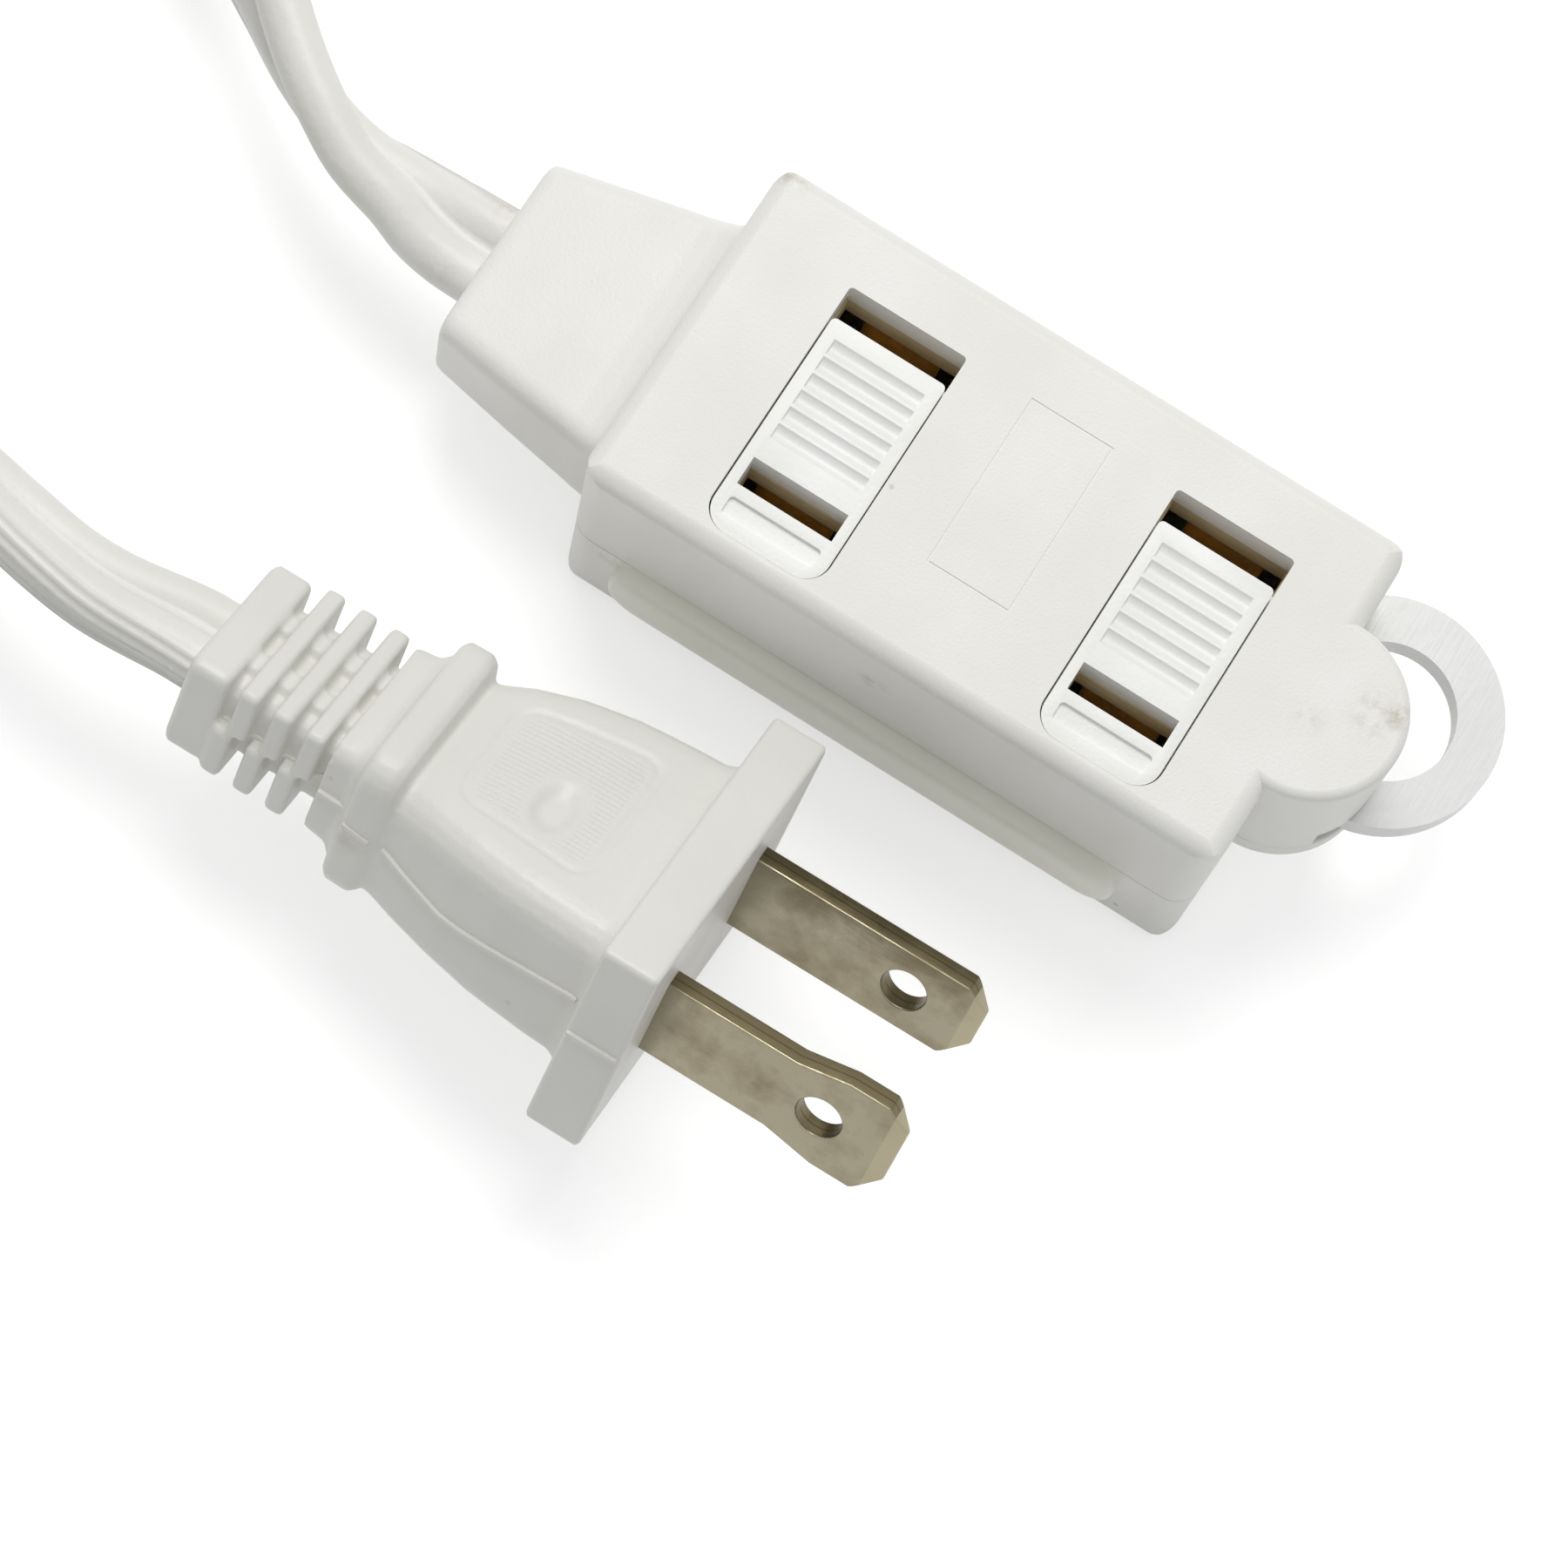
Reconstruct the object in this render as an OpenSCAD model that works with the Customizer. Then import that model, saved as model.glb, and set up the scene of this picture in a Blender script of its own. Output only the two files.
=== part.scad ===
// Two-wire indoor extension cord: a two-outlet tap with sliding outlet covers and a
// swivelling hanging ring, a flat twin cord and a polarised two-blade plug.
// +X runs along the tap toward its ring, +Y toward its far long side, +Z up.
// The origin is the centre of the tap's bottom face.

/* [Tap body] */
// Length of the tap body without its tongue and cord block
body_length = 46; // [45.5:0.5:49]
// Width of the tap body
body_width = 24.4; // [24.2:0.2:27]
// Height of the tap body
body_height = 20.2; // [19.8:0.2:22]
// Radius of the upright corners
corner_radius = 1.8; // [1.2:0.2:2.4]
// Radius of the edge round the top face
top_edge_radius = 1.2; // [0.6:0.1:1.4]
// Radius of the edge round the bottom face
bottom_edge_radius = 1; // [0.5:0.1:1.4]
// Height of the joint between the two halves of the housing
parting_height = 8.8; // [8.4:0.1:9.1]
// Thickness of the side and end walls
wall = 1.6; // [1.4:0.1:1.7]
// Thickness of the floor
floor_thickness = 2.4; // [1.6:0.2:3]
// Thickness of the roof that the covers slide in
roof_thickness = 2.2; // [2:0.1:2.6]

/* [Outlets] */
// Distance between the two outlets
outlet_pitch = 23.9; // [22:0.1:24]
// Distance from the front outlet to the front of the body
outlet_front = 10.06; // [9.6:0.02:10.5]
// Distance between the two blades of one outlet, and of the plug
blade_spacing = 12.7; // [12.5:0.1:12.9]
// Width of a cover recess
recess_width = 8.54; // [8.4:0.02:9]
// Gap at each side of a sliding cover
cover_side_gap = 0.12; // [0.1:0.02:0.3]
// Distance a cover slides to shut its outlet
cover_travel = 2.1; // [1.8:0.1:2.1]
// Number of finger grooves across a cover
grip_grooves = 6; // [4:1:7]

/* [Tongue and hanging ring] */
// Radius of the tongue at the front of the tap
tongue_radius = 6.1; // [5.6:0.1:6.6]
// Outer radius of the ring
ring_outer_radius = 7.7; // [7:0.1:7.8]
// Inner radius of the ring
ring_inner_radius = 4.6; // [4:0.1:5]
// Thickness of the ring
ring_thickness = 2; // [1.6:0.1:2.2]
// Distance from the pivot to the middle of the ring
ring_reach = 6.7; // [6.4:0.1:7]
// Angle of the ring from the tap's long axis
ring_angle = 54.7; // [40:0.1:54.7]
// Radius of the pivot post
post_radius = 1.5; // [1.2:0.1:1.7]
// Clearance round the pivot post
post_clearance = 0.05; // [0.02:0.01:0.08]

/* [Grip bars] */
// Length of a grip bar
grip_length = 37.8; // [30:0.2:40]
// Height of a grip bar
grip_height = 5; // [4:0.1:5]
// Distance a grip bar stands out
grip_depth = 0.9; // [0.5:0.1:1.2]

/* [Plug] */
// Width of the plug's flange
flange_width = 24.4; // [23.6:0.2:25.2]
// Height of the plug's flange
flange_height = 16.6; // [16:0.2:17]
// Thickness of the plug's flange
flange_thickness = 3.8; // [3.2:0.1:4.4]
// Length of the blades in front of the flange
blade_length = 16.9; // [15.9:0.1:18.2]
// Thickness of a blade
blade_thickness = 1.5; // [1.4:0.05:1.6]
// Width of the narrow blade
narrow_blade_width = 6.35; // [6.2:0.05:6.5]
// Width of the wide blade at its tip
wide_blade_width = 7.94; // [7.8:0.02:8]
// Radius of the hole in a blade
blade_hole_radius = 1.55; // [1.2:0.05:1.6]
// Number of ribs on the strain relief
relief_ribs = 3; // [2:1:3]

/* [Cord] */
// Width of the flat cord
cord_width = 7.3; // [7:0.1:7.4]
// Thickness of the flat cord
cord_thickness = 3.7; // [3.4:0.1:3.8]
// Radius of the copper in one conductor
conductor_radius = 0.8; // [0.6:0.05:0.8]
// Radius of the outermost turn of the coil
coil_radius = 43; // [42:0.5:44]
// Distance between neighbouring turns of the coil
coil_pitch = 4.2; // [4.2:0.05:4.3]

/* [Hidden] */

$fn = 64;
// A cut runs this far past the face it opens
over = 0.5;
half_length = body_length / 2;
half_width = body_width / 2;

// Shallow line cut round the joint of the two halves, and the empty label frame on top
line_width = 0.14;
line_depth = 0.07;
label_low = [-25, -5.4];
label_high = [-19, 7.35];

// Inside of the tap
cavity_rear = -half_length + wall;
cavity_front = half_length - 5;
cavity_half = half_width - wall;
roof_underside = body_height - roof_thickness;
channel_wall = 1.6;
wire_room = 3.4;

// Outlets: blade places at +Y (neutral, wide slot) and -Y (hot, narrow slot)
outlet_places = [half_length - outlet_front - outlet_pitch, half_length - outlet_front];
blade_place = blade_spacing / 2;
recess_near = -10.74;
recess_far = 7.32;
recess_near_radius = 1.8;
recess_far_radius = 0.3;

// Sliding covers: a plate in the recess with a thin flange under the roof
running_gap = 0.05;
cover_low = roof_underside + running_gap;
cover_high = body_height - 0.2;
cover_near = recess_near + 0.08;
cover_far = recess_far - cover_travel - 0.13;
cover_half = recess_width / 2 - cover_side_gap;
cover_near_radius = 1.7;
cover_far_radius = 0.35;
lip_reach = 0.7;
lip_thickness = 0.6;
cover_slot_half = 3.43;
cover_slot_width = 2.03;
cover_slot_middle = -6.48;
groove_field = 8;
groove_half = 3.3;
groove_radius = 0.7;
groove_depth = 0.28;
bar_groove_middle = -9.0;
bar_groove_width = 1.35;

// Carrier plate under the roof and the spring contacts below it
carrier_thickness = 1.8;
carrier_play = 0.2;
carrier_low = roof_underside - carrier_thickness;
wide_slot_half = recess_width / 2 - 0.1;
narrow_slot_half = 3.43;
slot_width = 1.86;
strip_half = 2.2;
strip_thickness = 0.8;
leaf_thickness = 0.5;
leaf_half_length = 2.8;
leaf_gap = 1.25;
pinch_gap = 0.55;
flare_gap = 1.5;
leaf_top = carrier_low - 0.3;
crimp_length = 3;
crimp_radius = 1.4;
crimp_height = floor_thickness + strip_thickness + crimp_radius - 0.2;

// Tongue, slot and hanging ring
tongue_middle = half_length - 0.15;
tongue_edge_radius = 0.6;
lip_low = 7.2;
ring_play = 0.1;
slot_height = ring_thickness + 2 * ring_play;
pivot = [half_length + 0.15, 0, 0];
eye_radius = 2.9;
loop_chord = 3.4;
ring_swing = 20;
pocket_gap = 0.2;
pocket_steps = 4;

// Grip bars
grip_middle = [-0.3, 6];
grip_round = (pow(grip_height / 2, 2) + pow(grip_depth, 2)) / (2 * grip_depth);

// Cord block behind the tap
block_length = 13.3;
block_edge = 1.2;
block_rear_half = 7;
block_front_half = 9.3;
// Its reach below and above the cord's line at both ends
block_rear_reach = [-4.5, 3.3];
block_front_reach = [-4.3, 5.3];
block_overlap = 1;
exit_height = parting_height + conductor_radius + 0.1;
conductor_place = cord_width / 4;
// A bend in a conductor swells by this much
bend_swell = 0.1;

// Plug frame: +X toward the blade tips, +Z out of its broad face
plug_position = [-0.81, -31.71, 13.02];
plug_turn = [-28.36, -1.23, 0.3];
face_place = -0.2;
flange_back = face_place - flange_thickness;
flange_chamfer = 0.4;
relief_end = -35.4;
bridge_front = -1.4;
bridge_back = -8;
bridge_half = 8.6;
bridge_high = 4.6;
tail_end = -9;
hole_place = 11.5;
tip_place = face_place + blade_length;
tip_chamfer = 1.6;
tip_thickness = 0.8;
plug_crimp_place = 5.7;
plug_crimp_length = 4.5;
plug_crimp_radius = 1.6;
blade_root_half = narrow_blade_width / 2;

// Coil of the unused cord: two layers of turns that stand on edge, wound inward on the
// top layer, down through half a turn and outward again on the bottom layer
coil_middle = [-118, -14];
tie_thickness = 0.8;
tie_gap = 0.2;
tie_length = 5;
tie_angle = 225;
layer_height = cord_width + 0.7;
low_layer = tie_thickness + tie_gap + cord_width / 2;
high_layer = low_layer + layer_height;
rings_per_turn = 24;
rings_in = 84;
rings_down = 12;
rings_out = 87;
last_ring = rings_in + rings_down + rings_out;
start_bearing = 90;
coil_inner = coil_radius - coil_pitch * rings_in / rings_per_turn;
inward_bulge = 0.8 * coil_pitch;
lead_length = cord_width;
plug_side_lead = 5;

// Free stretches of cord: points along the middle of the cord, with its turn about that line
tap_route = [[-38.8, 0, 0, -6], [-41, 0.2, 0, -18], [-43.3, 0.6, 0, -38],
    [-47, 1.2, 0, -56], [-50.2, 2.4, 0, -74], [-52.8, 3.8, 0, -84],
    [-55.1, 5.3, 0, -92], [-57.6, 7.2, 0.1, -100], [-61.4, 10.1, 0.3, -118],
    [-65.2, 13, 0.5, -146], [-69.1, 15.9, 0.8, -176], [-72.9, 18.7, 1.1, -206],
    [-76.4, 21, 1.4, -232], [-79.7, 23, 1.7, -252], [-87, 26.2, 2.3, -268],
    [-95.2, 28.3, 2.8, -270]];
plug_route = [[-38.8, -31.95, 12.15, -30], [-43.7, -32.5, 12.2, -39], [-47.7, -32.3, 12.1, -46],
    [-52, -31.5, 11.8, -49], [-56.6, -30.4, 11.1, -56], [-61.5, -29.8, 10, -66],
    [-67, -30.4, 8.4, -76], [-72.4, -32.1, 6.4, -86]];

// Middle line of the coil, ring by ring
function unit(v) = v / norm(v);
function bearing(k) = start_bearing + 360 * k / rings_per_turn;
function ease(x) = x * x * (3 - 2 * x);
function down(k) = max(0, min(1, (k - rings_in) / rings_down));
function turn_radius(k) =
    k < rings_in ? coil_radius - coil_pitch * k / rings_per_turn
    : k > rings_in + rings_down
        ? coil_inner + coil_pitch * (k - rings_in - rings_down) / rings_per_turn
    : coil_inner - inward_bulge * sin(180 * down(k));
function turn_height(k) = high_layer - layer_height * ease(down(k));
function coil_point(k) = [coil_middle[0] + turn_radius(k) * cos(bearing(k)),
    coil_middle[1] + turn_radius(k) * sin(bearing(k)), turn_height(k)];
function coil_heading(k) = [-sin(bearing(k)), cos(bearing(k)), 0];
coil_in = coil_point(0) - lead_length * coil_heading(0);
coil_out = coil_point(last_ring) + lead_length * coil_heading(last_ring);

// Cross-sections of the cord: [across its width, across its thickness]
function flat_section() = [for (p = [[1, 0], [0.85, 0.71], [0.49, 1], [0, 0.78], [-0.49, 1],
    [-0.85, 0.71], [-1, 0], [-0.85, -0.71], [-0.49, -1], [0, -0.78], [0.49, -1], [0.85, -0.71]])
    [p[0] * cord_width / 2, p[1] * cord_thickness / 2]];
function wound_section() = [for (p = [[1, 0], [0.6, 1], [-0.6, 1], [-1, 0], [-0.6, -1], [0.6, -1]])
    [p[0] * cord_width / 2, p[1] * cord_thickness / 2]];

// One ring of a tube: the section at a point, square to the heading, turned about it
function ring_at(point, heading, turn, section) =
    let (side = unit([heading[1], -heading[0], 0]))
    let (rise = cross(side, heading))
    let (across = cos(turn) * side + sin(turn) * rise)
    let (thick = -sin(turn) * side + cos(turn) * rise)
    [for (p = section) point + p[0] * across + p[1] * thick];
function place(p) = [p[0], p[1], p[2]];
function heading_at(route, i) =
    unit(place(route[min(i + 1, len(route) - 1)]) - place(route[max(i - 1, 0)]));
function route_rings(route) = [for (i = [0:len(route) - 1])
    ring_at(place(route[i]), heading_at(route, i), route[i][3], flat_section())];

// Whole routes: both ends run straight into what they meet
tap_side_turn = -270;
plug_side_turn = -90;
tap_exit = [-half_length - block_length, 0, exit_height, 0];
coil_in_lead = coil_in - lead_length * coil_heading(0);
coil_out_lead = coil_out + plug_side_lead * coil_heading(last_ring);
tap_path = concat([tap_exit],
    [for (p = tap_route) [p[0], p[1], exit_height + p[2], p[3]]],
    [[coil_in_lead[0], coil_in_lead[1], coil_in_lead[2], tap_side_turn],
        [coil_in[0], coil_in[1], coil_in[2], tap_side_turn]]);
function turn_x(p) = [p[0], p[1] * cos(plug_turn[0]) - p[2] * sin(plug_turn[0]),
    p[1] * sin(plug_turn[0]) + p[2] * cos(plug_turn[0])];
function turn_y(p) = [p[0] * cos(plug_turn[1]) + p[2] * sin(plug_turn[1]), p[1],
    -p[0] * sin(plug_turn[1]) + p[2] * cos(plug_turn[1])];
function turn_z(p) = [p[0] * cos(plug_turn[2]) - p[1] * sin(plug_turn[2]),
    p[0] * sin(plug_turn[2]) + p[1] * cos(plug_turn[2]), p[2]];
function from_plug(p) = plug_position + turn_z(turn_y(turn_x(p)));
plug_exit = from_plug([relief_end, 0, 0]);
plug_lead = from_plug([relief_end - 1, 0, 0]);
plug_path = concat([[plug_exit[0], plug_exit[1], plug_exit[2], plug_turn[0]],
    [plug_lead[0], plug_lead[1], plug_lead[2], plug_turn[0]]], plug_route,
    [[coil_out_lead[0], coil_out_lead[1], coil_out_lead[2], plug_side_turn],
        [coil_out[0], coil_out[1], coil_out[2], plug_side_turn]]);

coil_places = [for (k = [0:last_ring]) coil_point(k)];
function flat_reach(a, b) = norm([a[0] - b[0], a[1] - b[1]]);
// Least gap between turns: pairs of rings at least two thirds of a turn apart
coil_gap = min([for (i = [0:last_ring - 16]) for (j = [i + 16:last_ring])
    max(flat_reach(coil_places[i], coil_places[j]) - cord_thickness,
        abs(coil_places[i][2] - coil_places[j][2]) - cord_width)]);
function path_length(points) =
    [for (i = [1:len(points) - 1]) norm(points[i] - points[i - 1])] * [for (i = [2:len(points)]) 1];
cord_total = path_length([for (p = tap_path) place(p)]) + path_length([for (p = plug_path) place(p)])
    + path_length(coil_places) + 2 * lead_length;
echo(coil_gap = coil_gap, cord_total = cord_total);

// A rectangle with four round corners, exact arcs
module round_rect(width, height, radius) {
    square([width - 2 * radius, height], center = true);
    square([width, height - 2 * radius], center = true);
    for (x = [-1, 1], y = [-1, 1]) {
        translate([x * (width / 2 - radius), y * (height / 2 - radius)]) circle(radius);
    }
}

// A plate outline along Y with different corner radii at its near and far ends
module plate_outline(half, near, far, near_radius, far_radius) {
    translate([-half, near + near_radius]) square([2 * half, far - far_radius - near - near_radius]);
    translate([-half + near_radius, near]) square([2 * (half - near_radius), near_radius + 1]);
    translate([-half + far_radius, far - far_radius - 1])
        square([2 * (half - far_radius), far_radius + 1]);
    for (s = [-1, 1]) {
        translate([s * (half - near_radius), near + near_radius]) circle(near_radius);
        translate([s * (half - far_radius), far - far_radius]) circle(far_radius);
    }
}

// A box between two opposite corners
module block(low, high) {
    translate(low) cube(high - low);
}

// A round bar between two points
module bar(from, to, radius) {
    run = to - from;
    translate(from)
        rotate([0, acos(run[2] / norm(run)), atan2(run[1], run[0])])
            cylinder(h = norm(run), r = radius, $fn = 32);
}

// The whole outside of the tap body: three crossed extrusions
module body_form() {
    intersection() {
        linear_extrude(body_height) round_rect(body_length, body_width, corner_radius);
        translate([0, half_width + over, 0]) rotate([90, 0, 0])
            linear_extrude(body_width + 2 * over) end_profile(half_length);
        translate([-half_length - over, 0, 0]) rotate([90, 0, 90])
            linear_extrude(body_length + 2 * over) end_profile(half_width);
    }
}

// Upright profile of the tap body with round top and bottom edges
module end_profile(half) {
    translate([-half, bottom_edge_radius])
        square([2 * half, body_height - top_edge_radius - bottom_edge_radius]);
    translate([-half + bottom_edge_radius, 0]) square([2 * (half - bottom_edge_radius), 2]);
    translate([-half + top_edge_radius, body_height - 2]) square([2 * (half - top_edge_radius), 2]);
    for (s = [-1, 1]) {
        translate([s * (half - bottom_edge_radius), bottom_edge_radius]) circle(bottom_edge_radius);
        translate([s * (half - top_edge_radius), body_height - top_edge_radius])
            circle(top_edge_radius);
    }
}

// Frame-shaped line cut round the outside of the body from a height upward
module joint_line(low) {
    translate([0, 0, low]) linear_extrude(line_width) difference() {
        square([body_length + 2, body_width + 2], center = true);
        round_rect(body_length - 2 * line_depth, body_width - 2 * line_depth, corner_radius);
    }
}

// Empty rectangle outline on the top face
module label_line() {
    translate([half_length, 0, body_height - line_depth]) linear_extrude(1) difference() {
        translate(label_low) square(label_high - label_low);
        translate(label_low + [line_width, line_width])
            square(label_high - label_low - 2 * [line_width, line_width]);
    }
}

// A half round piece of the tongue between two heights
module tongue_form(low, high, edge) {
    intersection() {
        translate([tongue_middle, 0, 0]) rotate_extrude() {
            translate([0, low]) square([tongue_radius, high - low - edge]);
            translate([0, low]) square([tongue_radius - edge, high - low]);
            translate([tongue_radius - edge, high - edge]) circle(edge);
        }
        block([half_length - 2.5, -half_width, low], [half_length + 10, half_width, high]);
    }
}

// Room for the ring's whole swing; the tongue's near side stays closed
module ring_pocket() {
    translate(pivot + [0, 0, parting_height - over]) {
        for (i = [0:pocket_steps]) {
            a = ring_angle - ring_swing * i / pocket_steps;
            translate([ring_reach * cos(a), ring_reach * sin(a), 0])
                cylinder(h = slot_height + over, r = ring_outer_radius + pocket_gap);
        }
        cylinder(h = slot_height + over, r = eye_radius + pocket_gap);
    }
}

// Upper half of the housing: roof with the two cover recesses, tongue with the ring slot
module upper_housing() {
    color("ivory") difference() {
        union() {
            intersection() {
                body_form();
                block([-half_length, -half_width, parting_height], [half_length, half_width, body_height]);
            }
            tongue_form(parting_height, body_height, tongue_edge_radius);
        }
        block([cavity_rear, -cavity_half, parting_height - over],
            [cavity_front, cavity_half, roof_underside]);
        for (x = outlet_places) {
            translate([x, 0, roof_underside - over])
                linear_extrude(roof_thickness + 2 * over)
                    plate_outline(recess_width / 2, recess_near, recess_far, recess_near_radius,
                        recess_far_radius);
            block([x - cover_half - lip_reach - 0.1, cover_near + cover_near_radius - 0.1,
                    roof_underside - over],
                [x + cover_half + lip_reach + 0.1, recess_far, cover_low + lip_thickness + running_gap]);
        }
        ring_pocket();
        joint_line(parting_height);
        label_line();
        for (s = [-1, 1]) {
            bar([-half_length - over, s * conductor_place, exit_height],
                [cavity_rear + over, s * conductor_place, exit_height], conductor_radius + 0.05);
        }
    }
}

// Lower half of the housing: two contact channels, lip under the ring and the pivot post
module lower_housing() {
    color("ivory") {
        difference() {
            intersection() {
                body_form();
                block([-half_length, -half_width, 0], [half_length, half_width, parting_height]);
            }
            block([cavity_rear, -cavity_half, floor_thickness],
                [cavity_rear + wire_room, cavity_half, parting_height + over]);
            for (s = [-1, 1]) {
                block([cavity_rear, min(s * channel_wall / 2, s * cavity_half), floor_thickness],
                    [cavity_front, max(s * channel_wall / 2, s * cavity_half), parting_height + over]);
            }
        }
        tongue_form(lip_low, parting_height, 0.2);
        translate(pivot + [0, 0, parting_height - 0.5])
            cylinder(h = slot_height + 0.5, r = post_radius);
    }
}

// A sliding outlet cover: plate with a blade slot, finger grooves and a bar groove
module outlet_cover(x) {
    difference() {
        union() {
            translate([x, 0, cover_low]) linear_extrude(cover_high - cover_low)
                plate_outline(cover_half, cover_near, cover_far, cover_near_radius, cover_far_radius);
            block([x - cover_half - lip_reach, cover_near + cover_near_radius, cover_low],
                [x + cover_half + lip_reach, cover_far, cover_low + lip_thickness]);
        }
        block([x - cover_slot_half, cover_slot_middle - cover_slot_width / 2, cover_low - over],
            [x + cover_slot_half, cover_slot_middle + cover_slot_width / 2, cover_high + over]);
        for (i = [0:grip_grooves - 1]) {
            y = (i / (grip_grooves - 1) - 0.5) * (groove_field - 2 * groove_radius);
            translate([x - groove_half, y, cover_high - groove_depth + groove_radius])
                rotate([0, 90, 0]) cylinder(h = 2 * groove_half, r = groove_radius);
        }
        translate([x, bar_groove_middle, cover_high - groove_depth]) linear_extrude(1)
            round_rect(2 * groove_half, bar_groove_width, 0.3);
    }
}

module rear_cover() {
    color("white") outlet_cover(outlet_places[0]);
}

module front_cover() {
    color("white") outlet_cover(outlet_places[1]);
}

// Flat ring that turns on the pivot post, with a web beside its eye
module hanging_ring() {
    color("white") translate(pivot + [0, 0, parting_height + ring_play]) rotate([0, 0, ring_angle])
        difference() {
            union() {
                translate([ring_reach, 0, 0]) cylinder(h = ring_thickness, r = ring_outer_radius);
                cylinder(h = ring_thickness, r = eye_radius);
            }
            intersection() {
                translate([ring_reach, 0, -over])
                    cylinder(h = ring_thickness + 2 * over, r = ring_inner_radius);
                block([ring_reach - loop_chord, -ring_outer_radius, -over],
                    [ring_reach + ring_outer_radius, ring_outer_radius, ring_thickness + over]);
            }
            translate([0, 0, -over])
                cylinder(h = ring_thickness + 2 * over, r = post_radius + post_clearance);
        }
}

// Half round bar with round ends on one long side of the tap
module grip_bar() {
    intersection() {
        translate([grip_middle[0] - grip_length / 2, half_width + grip_depth - grip_round, grip_middle[1]])
            rotate([0, 90, 0]) cylinder(h = grip_length, r = grip_round);
        translate([grip_middle[0], half_width + grip_depth + over, grip_middle[1]]) rotate([90, 0, 0])
            linear_extrude(grip_depth + over) round_rect(grip_length, grip_height, grip_height * 0.45);
    }
}

module near_grip_bar() {
    color("wheat") mirror([0, 1, 0]) grip_bar();
}

module far_grip_bar() {
    color("wheat") grip_bar();
}

// Insulating plate under the roof, with the four blade slots and a rib between the contacts
module contact_carrier() {
    color("gainsboro") {
        difference() {
            block([cavity_rear + carrier_play, -cavity_half + carrier_play, carrier_low],
                [cavity_front - carrier_play, cavity_half - carrier_play, roof_underside]);
            for (x = outlet_places) {
                block([x - wide_slot_half, recess_far - slot_width, carrier_low - over],
                    [x + wide_slot_half, recess_far, roof_underside + over]);
                block([x - narrow_slot_half, cover_slot_middle - slot_width / 2, carrier_low - over],
                    [x + narrow_slot_half, cover_slot_middle + slot_width / 2, roof_underside + over]);
            }
        }
        block([cavity_rear + wire_room, -channel_wall / 2, parting_height],
            [cavity_front - carrier_play, channel_wall / 2, carrier_low + 0.1]);
    }
}

// One spring leaf in profile, from the strip up to its flared mouth
module leaf_profile() {
    low = floor_thickness;
    bend = leaf_top - 5.4;
    pinch = leaf_top - 2.3;
    polygon([[leaf_gap, low], [leaf_gap, bend], [pinch_gap, pinch], [flare_gap, leaf_top],
        [flare_gap + leaf_thickness, leaf_top], [pinch_gap + leaf_thickness, pinch],
        [leaf_gap + leaf_thickness, bend], [leaf_gap + leaf_thickness, low]]);
}

// Brass strip with a pair of leaves under each outlet and a crimp at its rear end
module contact_bus(side) {
    start = cavity_rear + wire_room - 1;
    translate([0, side * blade_place, 0]) {
        block([start, -strip_half, floor_thickness],
            [outlet_places[1] + leaf_half_length, strip_half, floor_thickness + strip_thickness]);
        for (x = outlet_places, s = [0, 1]) {
            translate([x - leaf_half_length, 0, 0]) mirror([0, s, 0]) rotate([90, 0, 90])
                linear_extrude(2 * leaf_half_length) leaf_profile();
        }
        difference() {
            translate([start, 0, crimp_height]) rotate([0, 90, 0])
                cylinder(h = crimp_length, r = crimp_radius);
            translate([start - over, 0, crimp_height]) rotate([0, 90, 0])
                cylinder(h = crimp_length + 2 * over, r = conductor_radius);
        }
    }
}

module neutral_bus() {
    color("goldenrod") contact_bus(1);
}

module hot_bus() {
    color("goldenrod") contact_bus(-1);
}

// Copper conductor from the cord's end through the block to its crimp
module tap_wire(side) {
    drop = cavity_rear + 1.2;
    stop = cavity_rear + wire_room + 1;
    points = [[-half_length - block_length, side * conductor_place, exit_height],
        [drop, side * conductor_place, exit_height], [drop, side * blade_place, crimp_height],
        [stop, side * blade_place, crimp_height]];
    for (i = [0:2]) {
        bar(points[i], points[i + 1], conductor_radius);
    }
    for (i = [1:2]) {
        translate(points[i]) sphere(conductor_radius + bend_swell, $fn = 32);
    }
}

module tap_neutral_wire() {
    color("peru") tap_wire(1);
}

module tap_hot_wire() {
    color("peru") tap_wire(-1);
}

// Moulded block where the cord enters the tap
module cord_block() {
    color("ivory") difference() {
        intersection() {
            hull() {
                for (s = [-1, 1]) {
                    for (z = block_rear_reach) {
                        block_corner(-half_length - block_length, s * block_rear_half, z);
                    }
                    for (z = block_front_reach) {
                        block_corner(-half_length + block_overlap, s * block_front_half, z);
                    }
                }
            }
            block([-half_length - block_length, -half_width, 0], [-half_length, half_width, body_height]);
        }
        for (s = [-1, 1]) {
            bar([-half_length - block_length - over, s * conductor_place, exit_height],
                [-half_length + over, s * conductor_place, exit_height], conductor_radius);
        }
    }
}

// A ball inside a corner of the block
module block_corner(x, y, z) {
    translate([x, y - sign(y) * block_edge, exit_height + z - sign(z) * block_edge])
        sphere(block_edge, $fn = 24);
}

// A tube through its rings
module tube(rings) {
    sides = len(rings[0]);
    count = len(rings);
    polyhedron(points = [for (r = rings) for (p = r) p],
        faces = concat([[for (j = [sides - 1:-1:0]) j]],
            [for (i = [0:count - 2]) for (j = [0:sides - 1])
                [i * sides + j, i * sides + (j + 1) % sides, (i + 1) * sides + (j + 1) % sides]],
            [for (i = [0:count - 2]) for (j = [0:sides - 1])
                [i * sides + j, (i + 1) * sides + (j + 1) % sides, (i + 1) * sides + j]],
            [[for (j = [0:sides - 1]) (count - 1) * sides + j]]));
}

module cord_tap_side() {
    color("white") tube(route_rings(tap_path));
}

module cord_plug_side() {
    color("white") tube(route_rings(plug_path));
}

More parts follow.
